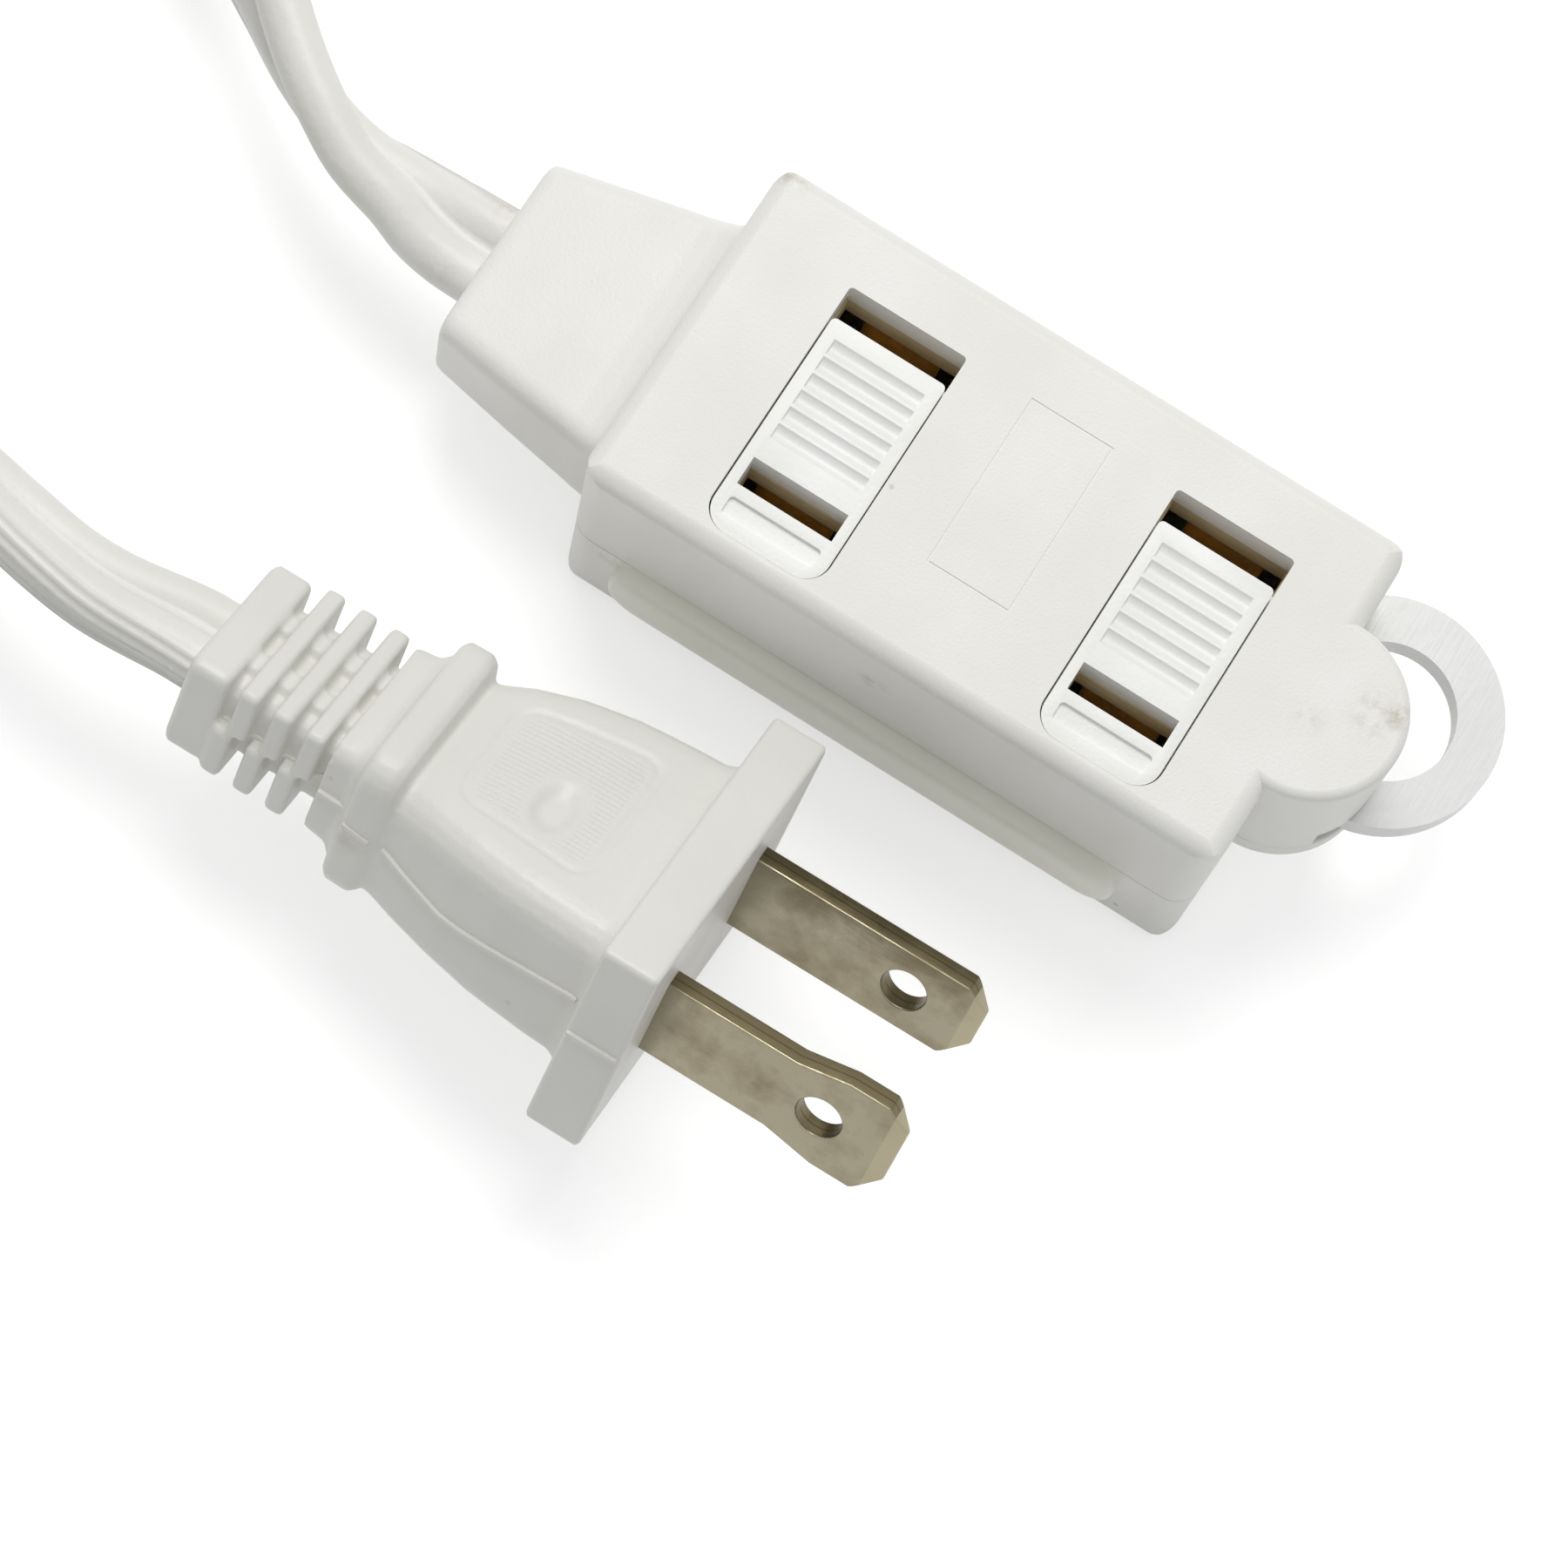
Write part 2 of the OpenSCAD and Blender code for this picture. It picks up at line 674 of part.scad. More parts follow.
module cord_coil() {
    color("white") tube(concat(
        [ring_at(coil_in, coil_heading(0), plug_side_turn, wound_section())],
        [for (k = [0:last_ring]) ring_at(coil_places[k], coil_heading(k), plug_side_turn, wound_section())],
        [ring_at(coil_out, coil_heading(last_ring), plug_side_turn, wound_section())]));
}

// Flat band round the whole bundle of turns
module cord_tie() {
    near = coil_inner - cord_thickness / 2 - tie_gap - 0.3;
    far = coil_radius + cord_thickness / 2 + tie_gap;
    high = high_layer + cord_width / 2 + tie_gap;
    color("dimgray") translate([coil_middle[0], coil_middle[1], 0]) rotate([0, 0, tie_angle])
        translate([(near + far) / 2, tie_length / 2, (high + tie_thickness) / 2]) rotate([90, 0, 0])
            linear_extrude(tie_length) difference() {
                round_rect(far - near + 2 * tie_thickness, high + tie_thickness, tie_thickness + 0.2);
                square([far - near, high - tie_thickness], center = true);
            }
}

// Places a child in the plug's frame
module at_plug() {
    translate(plug_position) rotate(plug_turn) children();
}

// A length of the plug between two places along its axis, with a round-cornered section
module plug_slab(from, to, half_across, half_high, radius) {
    translate([from, 0, 0]) rotate([90, 0, 90])
        linear_extrude(to - from) round_rect(2 * half_across, 2 * half_high, radius);
}

// Soft moulded body of the plug: flange, grip, ridge and ribbed strain relief
module plug_body() {
    color("white") at_plug() difference() {
        union() {
            translate([flange_back, 0, 0]) rotate([90, 0, 90])
                linear_extrude(flange_thickness) flange_outline();
            hull() {
                plug_slab(-20.2, -20, 7, 5.3, 2.2);
                plug_slab(-11, -10.8, 9.3, 6, 2.4);
                plug_slab(flange_back, flange_back + 0.5, 9.8, 6, 2.4);
            }
            plug_slab(-22.7, -20, 7.3, 5.9, 2);
            plug_slab(-24.8, -22.5, 5.9, 4.2, 1.4);
            plug_slab(relief_end + 1, -24.6, 4.6, 2.7, 1.2);
            plug_slab(relief_end, -32.7, 5.6, 3.8, 1.4);
            for (i = [0:relief_ribs - 1]) {
                plug_slab(-27 - 2.35 * i, -25.7 - 2.35 * i, 5.8, 4, 1.3);
            }
        }
        bridge_form();
        for (s = [-1, 1]) {
            blade_form(s);
            crimp_form(s);
            plug_wire(s);
        }
    }
}

// Outline of the flange: a rectangle with cut corners
module flange_outline() {
    w = flange_width / 2;
    h = flange_height / 2;
    c = flange_chamfer;
    polygon([[w, h - c], [w - c, h], [c - w, h], [-w, h - c], [-w, c - h], [c - w, -h],
        [w - c, -h], [w, c - h]]);
}

// Hard bridge that holds the blades apart
module bridge_form() {
    block([bridge_back, -bridge_half, -bridge_high], [bridge_front, bridge_half, bridge_high]);
}

module plug_bridge() {
    color("gray") at_plug() difference() {
        bridge_form();
        blade_form(-1);
        blade_form(1);
    }
}

// A folded blade: +1 is the narrow one, -1 the wide one
module blade_form(side) {
    half = side > 0 ? blade_root_half : wide_blade_width / 2;
    root = blade_root_half;
    flat = blade_thickness / 2;
    thin = tip_thickness / 2;
    translate([0, side * blade_place, 0]) intersection() {
        translate([0, flat, 0]) rotate([90, 0, 0]) linear_extrude(blade_thickness)
            polygon([[tail_end, -root], [8.8, -root], [12.3, -half], [tip_place - tip_chamfer, -half],
                [tip_place, -half + tip_chamfer], [tip_place, half - tip_chamfer],
                [tip_place - tip_chamfer, half], [12.3, half], [8.8, root], [tail_end, root]]);
        translate([0, 0, -half - over]) linear_extrude(2 * half + 2 * over)
            polygon([[tail_end, -flat], [tip_place - 1.4, -flat], [tip_place, -thin],
                [tip_place, thin], [tip_place - 1.4, flat], [tail_end, flat]]);
    }
}

module blade(side) {
    difference() {
        blade_form(side);
        translate([hole_place, side * blade_place + blade_thickness, 0]) rotate([90, 0, 0])
            cylinder(h = 2 * blade_thickness, r = blade_hole_radius);
    }
}

module narrow_blade() {
    color("silver") at_plug() blade(1);
}

module wide_blade() {
    color("silver") at_plug() blade(-1);
}

// Crimp that joins a conductor to the tail of its blade
module crimp_form(side) {
    translate([tail_end - plug_crimp_length, side * plug_crimp_place, 0]) rotate([0, 90, 0])
        cylinder(h = plug_crimp_length, r = plug_crimp_radius);
}

module plug_crimp(side) {
    difference() {
        crimp_form(side);
        plug_wire(side);
    }
}

module narrow_crimp() {
    color("goldenrod") at_plug() plug_crimp(1);
}

module wide_crimp() {
    color("goldenrod") at_plug() plug_crimp(-1);
}

// Copper conductor inside the plug
module plug_wire(side) {
    bar([relief_end + 0.9, side * conductor_place, 0], [tail_end - 1, side * plug_crimp_place, 0],
        conductor_radius);
}

module plug_narrow_wire() {
    color("peru") at_plug() plug_wire(1);
}

module plug_wide_wire() {
    color("peru") at_plug() plug_wire(-1);
}

upper_housing();
lower_housing();
rear_cover();
front_cover();
hanging_ring();
near_grip_bar();
far_grip_bar();
contact_carrier();
neutral_bus();
hot_bus();
cord_block();
tap_neutral_wire();
tap_hot_wire();
cord_tap_side();
cord_coil();
cord_tie();
cord_plug_side();
plug_body();
plug_bridge();
narrow_blade();
wide_blade();
narrow_crimp();
wide_crimp();
plug_narrow_wire();
plug_wide_wire();
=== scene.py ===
import math
import bpy
from mathutils import Euler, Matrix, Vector


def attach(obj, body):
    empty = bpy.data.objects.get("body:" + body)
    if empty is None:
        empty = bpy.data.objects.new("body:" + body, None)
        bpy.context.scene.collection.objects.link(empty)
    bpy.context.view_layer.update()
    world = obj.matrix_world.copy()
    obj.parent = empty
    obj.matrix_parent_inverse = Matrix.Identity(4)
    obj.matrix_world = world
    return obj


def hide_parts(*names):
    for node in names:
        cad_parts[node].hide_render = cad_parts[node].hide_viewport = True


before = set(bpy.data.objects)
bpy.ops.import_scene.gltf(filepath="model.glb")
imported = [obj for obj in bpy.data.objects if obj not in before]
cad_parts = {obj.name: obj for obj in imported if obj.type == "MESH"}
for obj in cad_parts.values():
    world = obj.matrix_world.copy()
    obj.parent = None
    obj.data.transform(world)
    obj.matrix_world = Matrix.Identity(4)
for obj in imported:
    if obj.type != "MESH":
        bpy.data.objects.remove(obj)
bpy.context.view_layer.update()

# ---------------------------------------------------------------------------
# Camera
# A long lens looks down from the near side on the tap and the plug. Its place and turn
# were fitted to the lengths of the blades and the outlets.
camera_data = bpy.data.cameras.new("camera")
camera_data.lens = 130
camera_data.sensor_width = 36
camera_data.sensor_fit = "HORIZONTAL"
camera_data.clip_start = 0.01
camera_data.clip_end = 5
camera = bpy.data.objects.new("camera", camera_data)
camera.location = (0.0183044, -0.1175551, 0.3488686)
camera.rotation_euler = (0.2706834, -0.0999374, 0.5537031)
bpy.context.scene.collection.objects.link(camera)
bpy.context.scene.camera = camera
bpy.context.scene.view_settings.view_transform = "Standard"


# ---------------------------------------------------------------------------
# Light and floor
# A plain white room: an even surround and one broad soft lamp high on the far left.
# The floor is white card that keeps a faint shadow.
def add_node(tree, kind, sockets=None, **settings):
    # a node whose sockets are set or, where a socket is given, linked
    made = tree.nodes.new(kind)
    for label, value in settings.items():
        setattr(made, label, value)
    for label, value in (sockets or {}).items():
        if isinstance(value, bpy.types.NodeSocket):
            tree.links.new(value, made.inputs[label])
        else:
            made.inputs[label].default_value = value
    return made


def seen_directly(tree):
    # 1 for rays from the eye, a mirror or through glass, else 0
    path = add_node(tree, "ShaderNodeLightPath")
    either = add_node(tree, "ShaderNodeMath", {0: path.outputs["Is Camera Ray"],
                                               1: path.outputs["Is Transmission Ray"]},
                      operation="MAXIMUM")
    return add_node(tree, "ShaderNodeMath", {0: either.outputs[0],
                                             1: path.outputs["Is Glossy Ray"]},
                    operation="MAXIMUM").outputs[0]


ROOM_STRENGTH = 0.46
world = bpy.data.worlds.new("surround")
bpy.context.scene.world = world
world.use_nodes = True
room = world.node_tree
room.nodes.clear()
room_light = add_node(room, "ShaderNodeBackground",
                      {"Color": (0.98, 0.99, 1.0, 1), "Strength": ROOM_STRENGTH})
room_seen = add_node(room, "ShaderNodeBackground", {"Color": (1, 1, 1, 1), "Strength": 1.0})
room_mix = add_node(room, "ShaderNodeMixShader", {0: seen_directly(room),
                                                  1: room_light.outputs[0],
                                                  2: room_seen.outputs[0]})
add_node(room, "ShaderNodeOutputWorld", {"Surface": room_mix.outputs[0]})


def add_lamp(name, place, aim, size, power, colour):
    data = bpy.data.lights.new(name, "AREA")
    data.shape = "DISK"
    data.size = size
    data.energy = power
    data.color = colour
    lamp = bpy.data.objects.new(name, data)
    lamp.location = place
    lamp.rotation_euler = (Vector(aim) - Vector(place)).to_track_quat("-Z", "Y").to_euler()
    bpy.context.scene.collection.objects.link(lamp)


add_lamp("key_lamp", (-0.18, 0.42, 0.85), (0, 0, 0.01), 0.6, 4.5, (1.0, 0.99, 0.97))

FLOOR_SIZE = 3.0
FLOOR_HEIGHT = -0.0002
FLOOR_GLOW = 0.50
bpy.ops.object.select_all(action="DESELECT")
bpy.ops.mesh.primitive_plane_add(size=FLOOR_SIZE, location=(0, 0, FLOOR_HEIGHT))
floor = bpy.context.active_object
floor.name = "floor"
bpy.ops.object.transform_apply(location=True, rotation=True, scale=True)
floor_card = bpy.data.materials.new("floor_card")
floor_card.use_nodes = True
card = floor_card.node_tree
card.nodes.clear()
card_grain = add_node(card, "ShaderNodeTexNoise",
                      {"Vector": add_node(card, "ShaderNodeTexCoord").outputs["Object"],
                       "Scale": 60.0})
card_tone = add_node(card, "ShaderNodeMapRange", {0: card_grain.outputs[0], 3: 0.82, 4: 0.84})
card_paint = add_node(card, "ShaderNodeBsdfDiffuse", {"Color": card_tone.outputs[0]})
card_lift = add_node(card, "ShaderNodeMath", {0: seen_directly(card), 1: FLOOR_GLOW},
                     operation="MULTIPLY")
card_glow = add_node(card, "ShaderNodeEmission", {"Strength": card_lift.outputs[0]})
card_sum = add_node(card, "ShaderNodeAddShader", {0: card_paint.outputs[0],
                                                  1: card_glow.outputs[0]})
add_node(card, "ShaderNodeOutputMaterial", {"Surface": card_sum.outputs[0]})
floor.data.materials.append(floor_card)

# ---------------------------------------------------------------------------
# Cord
# Flat twin cord of soft white PVC, 1.83 m: two conductors side by side with a V-groove
# between them and fine ribs along the neutral one. It leaves the tap flat, rolls on edge,
# lies in a tied coil and comes back to the plug.
CORD_WIDTH = 0.0073
CORD_THICKNESS = 0.0037
SECTION_STEPS = 48
RIB_HEIGHT = 0.00022
RIB_STEPS = 4
RIB_REACH = 1.05
GROOVE_ANGLE = 1.0
COIL_MIDDLE = (-0.118, -0.014)
COIL_RADIUS = 0.043
COIL_PITCH = 0.0042
COIL_LOW = 0.00465
COIL_STEP = 0.008
COIL_DIP = 0.8
COIL_TURN = -270
RINGS_PER_TURN = 24
RINGS_IN = 84
RINGS_DOWN = 12
RINGS_OUT = 87
# x, y, z and the turn about the cord's own line
TAP_ROUTE = [
    (-0.0363, 0, 0.0097, 0), (-0.0388, 0, 0.0097, -6), (-0.041, 0.0002, 0.0097, -18),
    (-0.0433, 0.0006, 0.0097, -38), (-0.047, 0.0012, 0.0097, -56),
    (-0.0502, 0.0024, 0.0097, -74), (-0.0528, 0.0038, 0.0097, -84),
    (-0.0551, 0.0053, 0.0097, -92), (-0.0576, 0.0072, 0.0098, -100),
    (-0.0614, 0.0101, 0.010, -118), (-0.0652, 0.013, 0.0102, -146),
    (-0.0691, 0.0159, 0.0105, -176), (-0.0729, 0.0187, 0.0108, -206),
    (-0.0764, 0.021, 0.0111, -232), (-0.0797, 0.023, 0.0114, -252),
    (-0.087, 0.0262, 0.012, -268), (-0.0952, 0.0283, 0.0125, -270),
    (-0.1034, 0.029, 0.01265, -270), (-0.1107, 0.029, 0.01265, -270),
]
PLUG_ROUTE = [
    (-0.036201, -0.031895, 0.01226, -28.4), (-0.0372, -0.0319, 0.01224, -28.4),
    (-0.0388, -0.03195, 0.01215, -30), (-0.0437, -0.0325, 0.0122, -39),
    (-0.0477, -0.0323, 0.0121, -46), (-0.052, -0.0315, 0.0118, -49),
    (-0.0566, -0.0304, 0.0111, -56), (-0.0615, -0.0298, 0.010, -66),
    (-0.067, -0.0304, 0.0084, -76), (-0.0724, -0.0321, 0.0064, -86),
    (-0.07852, -0.03608, 0.00465, -90), (-0.08206, -0.03962, 0.00465, -90),
]


def coil_ring(k):
    # one ring of the coil: inwards along the upper layer, then outwards along the lower
    bearing = math.radians(90 + 360 * k / RINGS_PER_TURN)
    inner = COIL_RADIUS - COIL_PITCH * RINGS_IN / RINGS_PER_TURN
    down = min(1, max(0, (k - RINGS_IN) / RINGS_DOWN))
    if k < RINGS_IN:
        radius = COIL_RADIUS - COIL_PITCH * k / RINGS_PER_TURN
    elif k > RINGS_IN + RINGS_DOWN:
        radius = inner + COIL_PITCH * (k - RINGS_IN - RINGS_DOWN) / RINGS_PER_TURN
    else:
        # the cord swings inwards by a share of the pitch while it drops a layer
        radius = inner - COIL_DIP * COIL_PITCH * math.sin(math.pi * down)
    height = COIL_LOW + COIL_STEP * (1 - down * down * (3 - 2 * down))
    return (COIL_MIDDLE[0] + radius * math.cos(bearing),
            COIL_MIDDLE[1] + radius * math.sin(bearing), height, COIL_TURN)


def smooth_route(points, steps):
    # a smooth line through the points, with a number of steps between two of them
    out = []
    for i in range(len(points) - 1):
        a = points[max(i - 1, 0)]
        b = points[i]
        c = points[i + 1]
        d = points[min(i + 2, len(points) - 1)]
        for j in range(steps):
            t = j / steps
            out.append(tuple(
                0.5 * (2 * b[m] + (c[m] - a[m]) * t
                       + (2 * a[m] - 5 * b[m] + 4 * c[m] - d[m]) * t * t
                       + (3 * b[m] - a[m] - 3 * c[m] + d[m]) * t * t * t)
                for m in range(4)))
    out.append(tuple(points[-1]))
    return out


def cord_section():
    # round the two conductors, with ribs on the one at the positive side
    lobe = CORD_THICKNESS / 2
    place = CORD_WIDTH / 2 - lobe
    out = []
    for side in (1, -1):
        for i in range(SECTION_STEPS + 1):
            angle = (-math.pi / 2 - GROOVE_ANGLE
                     + (math.pi + 2 * GROOVE_ANGLE) * i / SECTION_STEPS)
            if side < 0:
                angle += math.pi
            ribbed = side > 0 and abs(angle) < RIB_REACH and i % RIB_STEPS == 0
            rib = RIB_HEIGHT if ribbed else 0
            out.append((side * place + (lobe - RIB_HEIGHT / 2 + rib) * math.cos(angle),
                        (lobe - RIB_HEIGHT / 2 + rib) * math.sin(angle)))
    return out


def only(obj):
    # selects one object and makes it the active one
    bpy.ops.object.select_all(action="DESELECT")
    bpy.context.view_layer.objects.active = obj
    obj.select_set(True)


def sweep(name, route, section):
    # a tube with one section all along a route, turned about its line
    points = [Vector(p[:3]) for p in route]
    verts = []
    for i, p in enumerate(points):
        heading = (points[min(i + 1, len(points) - 1)] - points[max(i - 1, 0)]).normalized()
        side = Vector((heading.y, -heading.x, 0)).normalized()
        rise = side.cross(heading)
        turn = math.radians(route[i][3])
        across = math.cos(turn) * side + math.sin(turn) * rise
        thick = -math.sin(turn) * side + math.cos(turn) * rise
        for s in section:
            verts.append(p + across * s[0] + thick * s[1])
    n = len(section)
    faces = [tuple(range(n))]
    for i in range(len(points) - 1):
        for j in range(n):
            k = (j + 1) % n
            faces.append((i * n + j, (i + 1) * n + j, (i + 1) * n + k, i * n + k))
    faces.append(tuple(reversed(range((len(points) - 1) * n, len(points) * n))))
    mesh = bpy.data.meshes.new(name)
    mesh.from_pydata(verts, [], faces)
    mesh.update()
    obj = bpy.data.objects.new(name, mesh)
    bpy.context.scene.collection.objects.link(obj)
    only(obj)
    bpy.ops.object.mode_set(mode="EDIT")
    bpy.ops.mesh.select_all(action="SELECT")
    bpy.ops.mesh.normals_make_consistent(inside=False)
    bpy.ops.object.mode_set(mode="OBJECT")
    bpy.ops.object.shade_smooth()
    return obj


tap_run = smooth_route(TAP_ROUTE, 6)
coil_run = smooth_route([coil_ring(k) for k in range(RINGS_IN + RINGS_DOWN + RINGS_OUT + 1)], 2)
# the turn is counted from the other side where the cord comes back to the plug
plug_run = [(x, y, z, -turn - 360) for x, y, z, turn in reversed(smooth_route(PLUG_ROUTE, 6))]
cord_route = tap_run + coil_run + plug_run
cord = sweep("cord", cord_route, cord_section())
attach(cord, "tap")
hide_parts("cord_tap_side", "cord_coil", "cord_plug_side")


def shade(red, green, blue):
    # a colour as it shows on a screen, each part from 0 to 255
    return tuple(((v / 255 + 0.055) / 1.055) ** 2.4 for v in (red, green, blue)) + (1,)


def new_group(name, inputs, outputs):
    # a node group, with the sockets inside that bring its inputs and take its outputs
    group = bpy.data.node_groups.new(name, "ShaderNodeTree")
    for label, kind, value in inputs:
        group.interface.new_socket(label, in_out="INPUT", socket_type=kind).default_value = value
    for label, kind in outputs:
        group.interface.new_socket(label, in_out="OUTPUT", socket_type=kind)
    brought = group.nodes.new("NodeGroupInput").outputs
    taken = group.nodes.new("NodeGroupOutput").inputs
    return group, brought, taken


# Fine grain of a moulded surface, with a slower unevenness under it
grain_group, grain_in, grain_out = new_group(
    "grain", [("Scale", "NodeSocketFloat", 2500.0), ("Slow", "NodeSocketFloat", 0.4)],
    [("Height", "NodeSocketFloat")])
grain_place = add_node(grain_group, "ShaderNodeTexCoord").outputs["Object"]
grain_fine = add_node(grain_group, "ShaderNodeTexNoise",
                      {"Vector": grain_place, "Scale": grain_in["Scale"], "Detail": 3.0})
grain_slow = add_node(grain_group, "ShaderNodeTexNoise",
                      {"Vector": grain_place, "Scale": 180.0, "Detail": 2.0})
grain_share = add_node(grain_group, "ShaderNodeMath",
                       {0: grain_slow.outputs[0], 1: grain_in["Slow"]}, operation="MULTIPLY")
grain_sum = add_node(grain_group, "ShaderNodeMath",
                     {0: grain_fine.outputs[0], 1: grain_share.outputs[0]}, operation="ADD")
grain_group.links.new(grain_sum.outputs[0], grain_out["Height"])

# Slow change between two tones, with small dust specks
tone_group, tone_in, tone_out = new_group(
    "tone", [("Clean", "NodeSocketColor", (0.8, 0.8, 0.8, 1)),
             ("Aged", "NodeSocketColor", (0.7, 0.7, 0.65, 1)),
             ("Specks", "NodeSocketFloat", 0.3)],
    [("Color", "NodeSocketColor"), ("Mask", "NodeSocketFloat")])
tone_place = add_node(tone_group, "ShaderNodeTexCoord").outputs["Object"]
tone_slow = add_node(tone_group, "ShaderNodeTexNoise",
                     {"Vector": tone_place, "Scale": 110.0, "Detail": 4.0})
tone_range = add_node(tone_group, "ShaderNodeMapRange",
                      {0: tone_slow.outputs[0], 1: 0.35, 2: 0.75, 3: 0.0, 4: 1.0})
tone_mix = add_node(tone_group, "ShaderNodeMix", {0: tone_range.outputs[0], 6: tone_in["Clean"],
                                                  7: tone_in["Aged"]}, data_type="RGBA")
tone_dust = add_node(tone_group, "ShaderNodeTexVoronoi", {"Vector": tone_place, "Scale": 420.0})
tone_pick = add_node(tone_group, "ShaderNodeTexWhiteNoise",
                     {"Vector": tone_dust.outputs["Position"]})
tone_few = add_node(tone_group, "ShaderNodeMath", {0: tone_pick.outputs[0], 1: 0.97},
                    operation="GREATER_THAN")
tone_dot = add_node(tone_group, "ShaderNodeMapRange",
                    {0: tone_dust.outputs["Distance"], 1: 0.05, 2: 0.12, 3: 1.0, 4: 0.0})
tone_both = add_node(tone_group, "ShaderNodeMath",
                     {0: tone_few.outputs[0], 1: tone_dot.outputs[0]}, operation="MULTIPLY")
tone_speck = add_node(tone_group, "ShaderNodeMath",
                      {0: tone_both.outputs[0], 1: tone_in["Specks"]}, operation="MULTIPLY")
tone_last = add_node(tone_group, "ShaderNodeMix",
                     {0: tone_speck.outputs[0], 6: tone_mix.outputs[2], 7: shade(120, 105, 80)},
                     data_type="RGBA")
tone_group.links.new(tone_last.outputs[2], tone_out["Color"])
tone_group.links.new(tone_range.outputs[0], tone_out["Mask"])

# A broken smudge of dirt round one place
soil_group, soil_in, soil_out = new_group(
    "soil", [("Place", "NodeSocketVector", (0, 0, 0)), ("Reach", "NodeSocketFloat", 0.002),
             ("Amount", "NodeSocketFloat", 0.5)],
    [("Mask", "NodeSocketFloat")])
soil_place = add_node(soil_group, "ShaderNodeTexCoord").outputs["Object"]
soil_far = add_node(soil_group, "ShaderNodeVectorMath", {0: soil_place, 1: soil_in["Place"]},
                    operation="DISTANCE")
soil_share = add_node(soil_group, "ShaderNodeMath",
                      {0: soil_far.outputs["Value"], 1: soil_in["Reach"]}, operation="DIVIDE")
soil_near = add_node(soil_group, "ShaderNodeMapRange", {0: soil_share.outputs[0], 3: 1.0, 4: 0.0},
                     interpolation_type="SMOOTHSTEP")
soil_break = add_node(soil_group, "ShaderNodeTexNoise",
                      {"Vector": soil_place, "Scale": 900.0, "Detail": 6.0, "Roughness": 0.7})
soil_patch = add_node(soil_group, "ShaderNodeMapRange",
                      {0: soil_break.outputs[0], 1: 0.42, 2: 0.62, 3: 0.0, 4: 1.0})
soil_both = add_node(soil_group, "ShaderNodeMath",
                     {0: soil_near.outputs[0], 1: soil_patch.outputs[0]}, operation="MULTIPLY")
soil_last = add_node(soil_group, "ShaderNodeMath", {0: soil_both.outputs[0], 1: soil_in["Amount"]},
                     operation="MULTIPLY")
soil_group.links.new(soil_last.outputs[0], soil_out["Mask"])


def add_group(tree, group, sockets):
    # one use of a node group, with its inputs set
    made = add_node(tree, "ShaderNodeGroup", node_tree=group)
    for label, value in sockets.items():
        made.inputs[label].default_value = value
    return made


def add_plastic(name, clean, aged, roughness, grain=(2500.0, 0.4, 0.00004), specks=0.2, soil=()):
    # a moulded plastic: two tones, grain as (scale, slow share, depth) and smudges of dirt
    # as (place, reach, amount, colour)
    material = bpy.data.materials.new(name)
    material.use_nodes = True
    tree = material.node_tree
    shader = tree.nodes["Principled BSDF"]
    tone = add_group(tree, tone_group, {"Clean": clean, "Aged": aged, "Specks": specks})
    colour = tone.outputs["Color"]
    for place, reach, amount, dirt in soil:
        smudge = add_group(tree, soil_group, {"Place": place, "Reach": reach, "Amount": amount})
        colour = add_node(tree, "ShaderNodeMix", {0: smudge.outputs["Mask"], 6: colour, 7: dirt},
                          data_type="RGBA").outputs[2]
    tree.links.new(colour, shader.inputs["Base Color"])
    gloss = add_node(tree, "ShaderNodeMapRange", {0: tone.outputs["Mask"], 3: roughness - 0.04,
                                                  4: roughness + 0.06})
    tree.links.new(gloss.outputs[0], shader.inputs["Roughness"])
    surface = add_group(tree, grain_group, {"Scale": grain[0], "Slow": grain[1]})
    bump = add_node(tree, "ShaderNodeBump", {"Height": surface.outputs["Height"],
                                             "Distance": grain[2], "Strength": 1.0})
    tree.links.new(bump.outputs[0], shader.inputs["Normal"])
    shader.inputs["IOR"].default_value = 1.48
    return material


cord.data.materials.append(add_plastic(
    "cord_vinyl", shade(238, 237, 233), shade(230, 229, 222), 0.42, grain=(1500.0, 1.2, 0.00005),
    specks=0.3,
    soil=[((-0.0372, 0.0030, 0.0112), 0.0016, 0.5, shade(190, 176, 140)),
          ((-0.0385, -0.0030, 0.0112), 0.0022, 0.3, shade(200, 190, 160))]))


# ---------------------------------------------------------------------------
# Tie round the coil
# A flat strap of dark woven nylon that holds the unused turns together. It is closed
# round both layers of the coil and stands on the floor.
WELD_REACH = 0.000002
FLAT_ANGLE = 1
SHARP_ANGLE = 30
SMOOTH_ANGLE = 19
ROUNDING_STEPS = 5


def soften_copy(node, body, width, material, shape=None):
    # stands for a CAD solid with a copy of it whose sharp edges are rounded
    piece = bpy.data.objects.new(node + "_shaped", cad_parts[node].data.copy())
    bpy.context.scene.collection.objects.link(piece)
    only(piece)
    bpy.ops.mesh.customdata_custom_splitnormals_clear()
    bpy.ops.object.mode_set(mode="EDIT")
    bpy.ops.mesh.select_all(action="SELECT")
    bpy.ops.mesh.remove_doubles(threshold=WELD_REACH)
    bpy.ops.mesh.dissolve_limited(angle_limit=math.radians(FLAT_ANGLE))
    bpy.ops.object.mode_set(mode="OBJECT")
    if shape:
        shape(piece)
    rounding = piece.modifiers.new("rounding", "BEVEL")
    rounding.width = width
    rounding.segments = ROUNDING_STEPS
    rounding.limit_method = "ANGLE"
    rounding.angle_limit = math.radians(SHARP_ANGLE)
    rounding.use_clamp_overlap = True
    bpy.ops.object.modifier_apply(modifier="rounding")
    bpy.ops.object.shade_smooth_by_angle(angle=math.radians(SMOOTH_ANGLE))
    piece.data.materials.clear()
    piece.data.materials.append(material)
    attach(piece, body)
    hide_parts(node)
    return piece


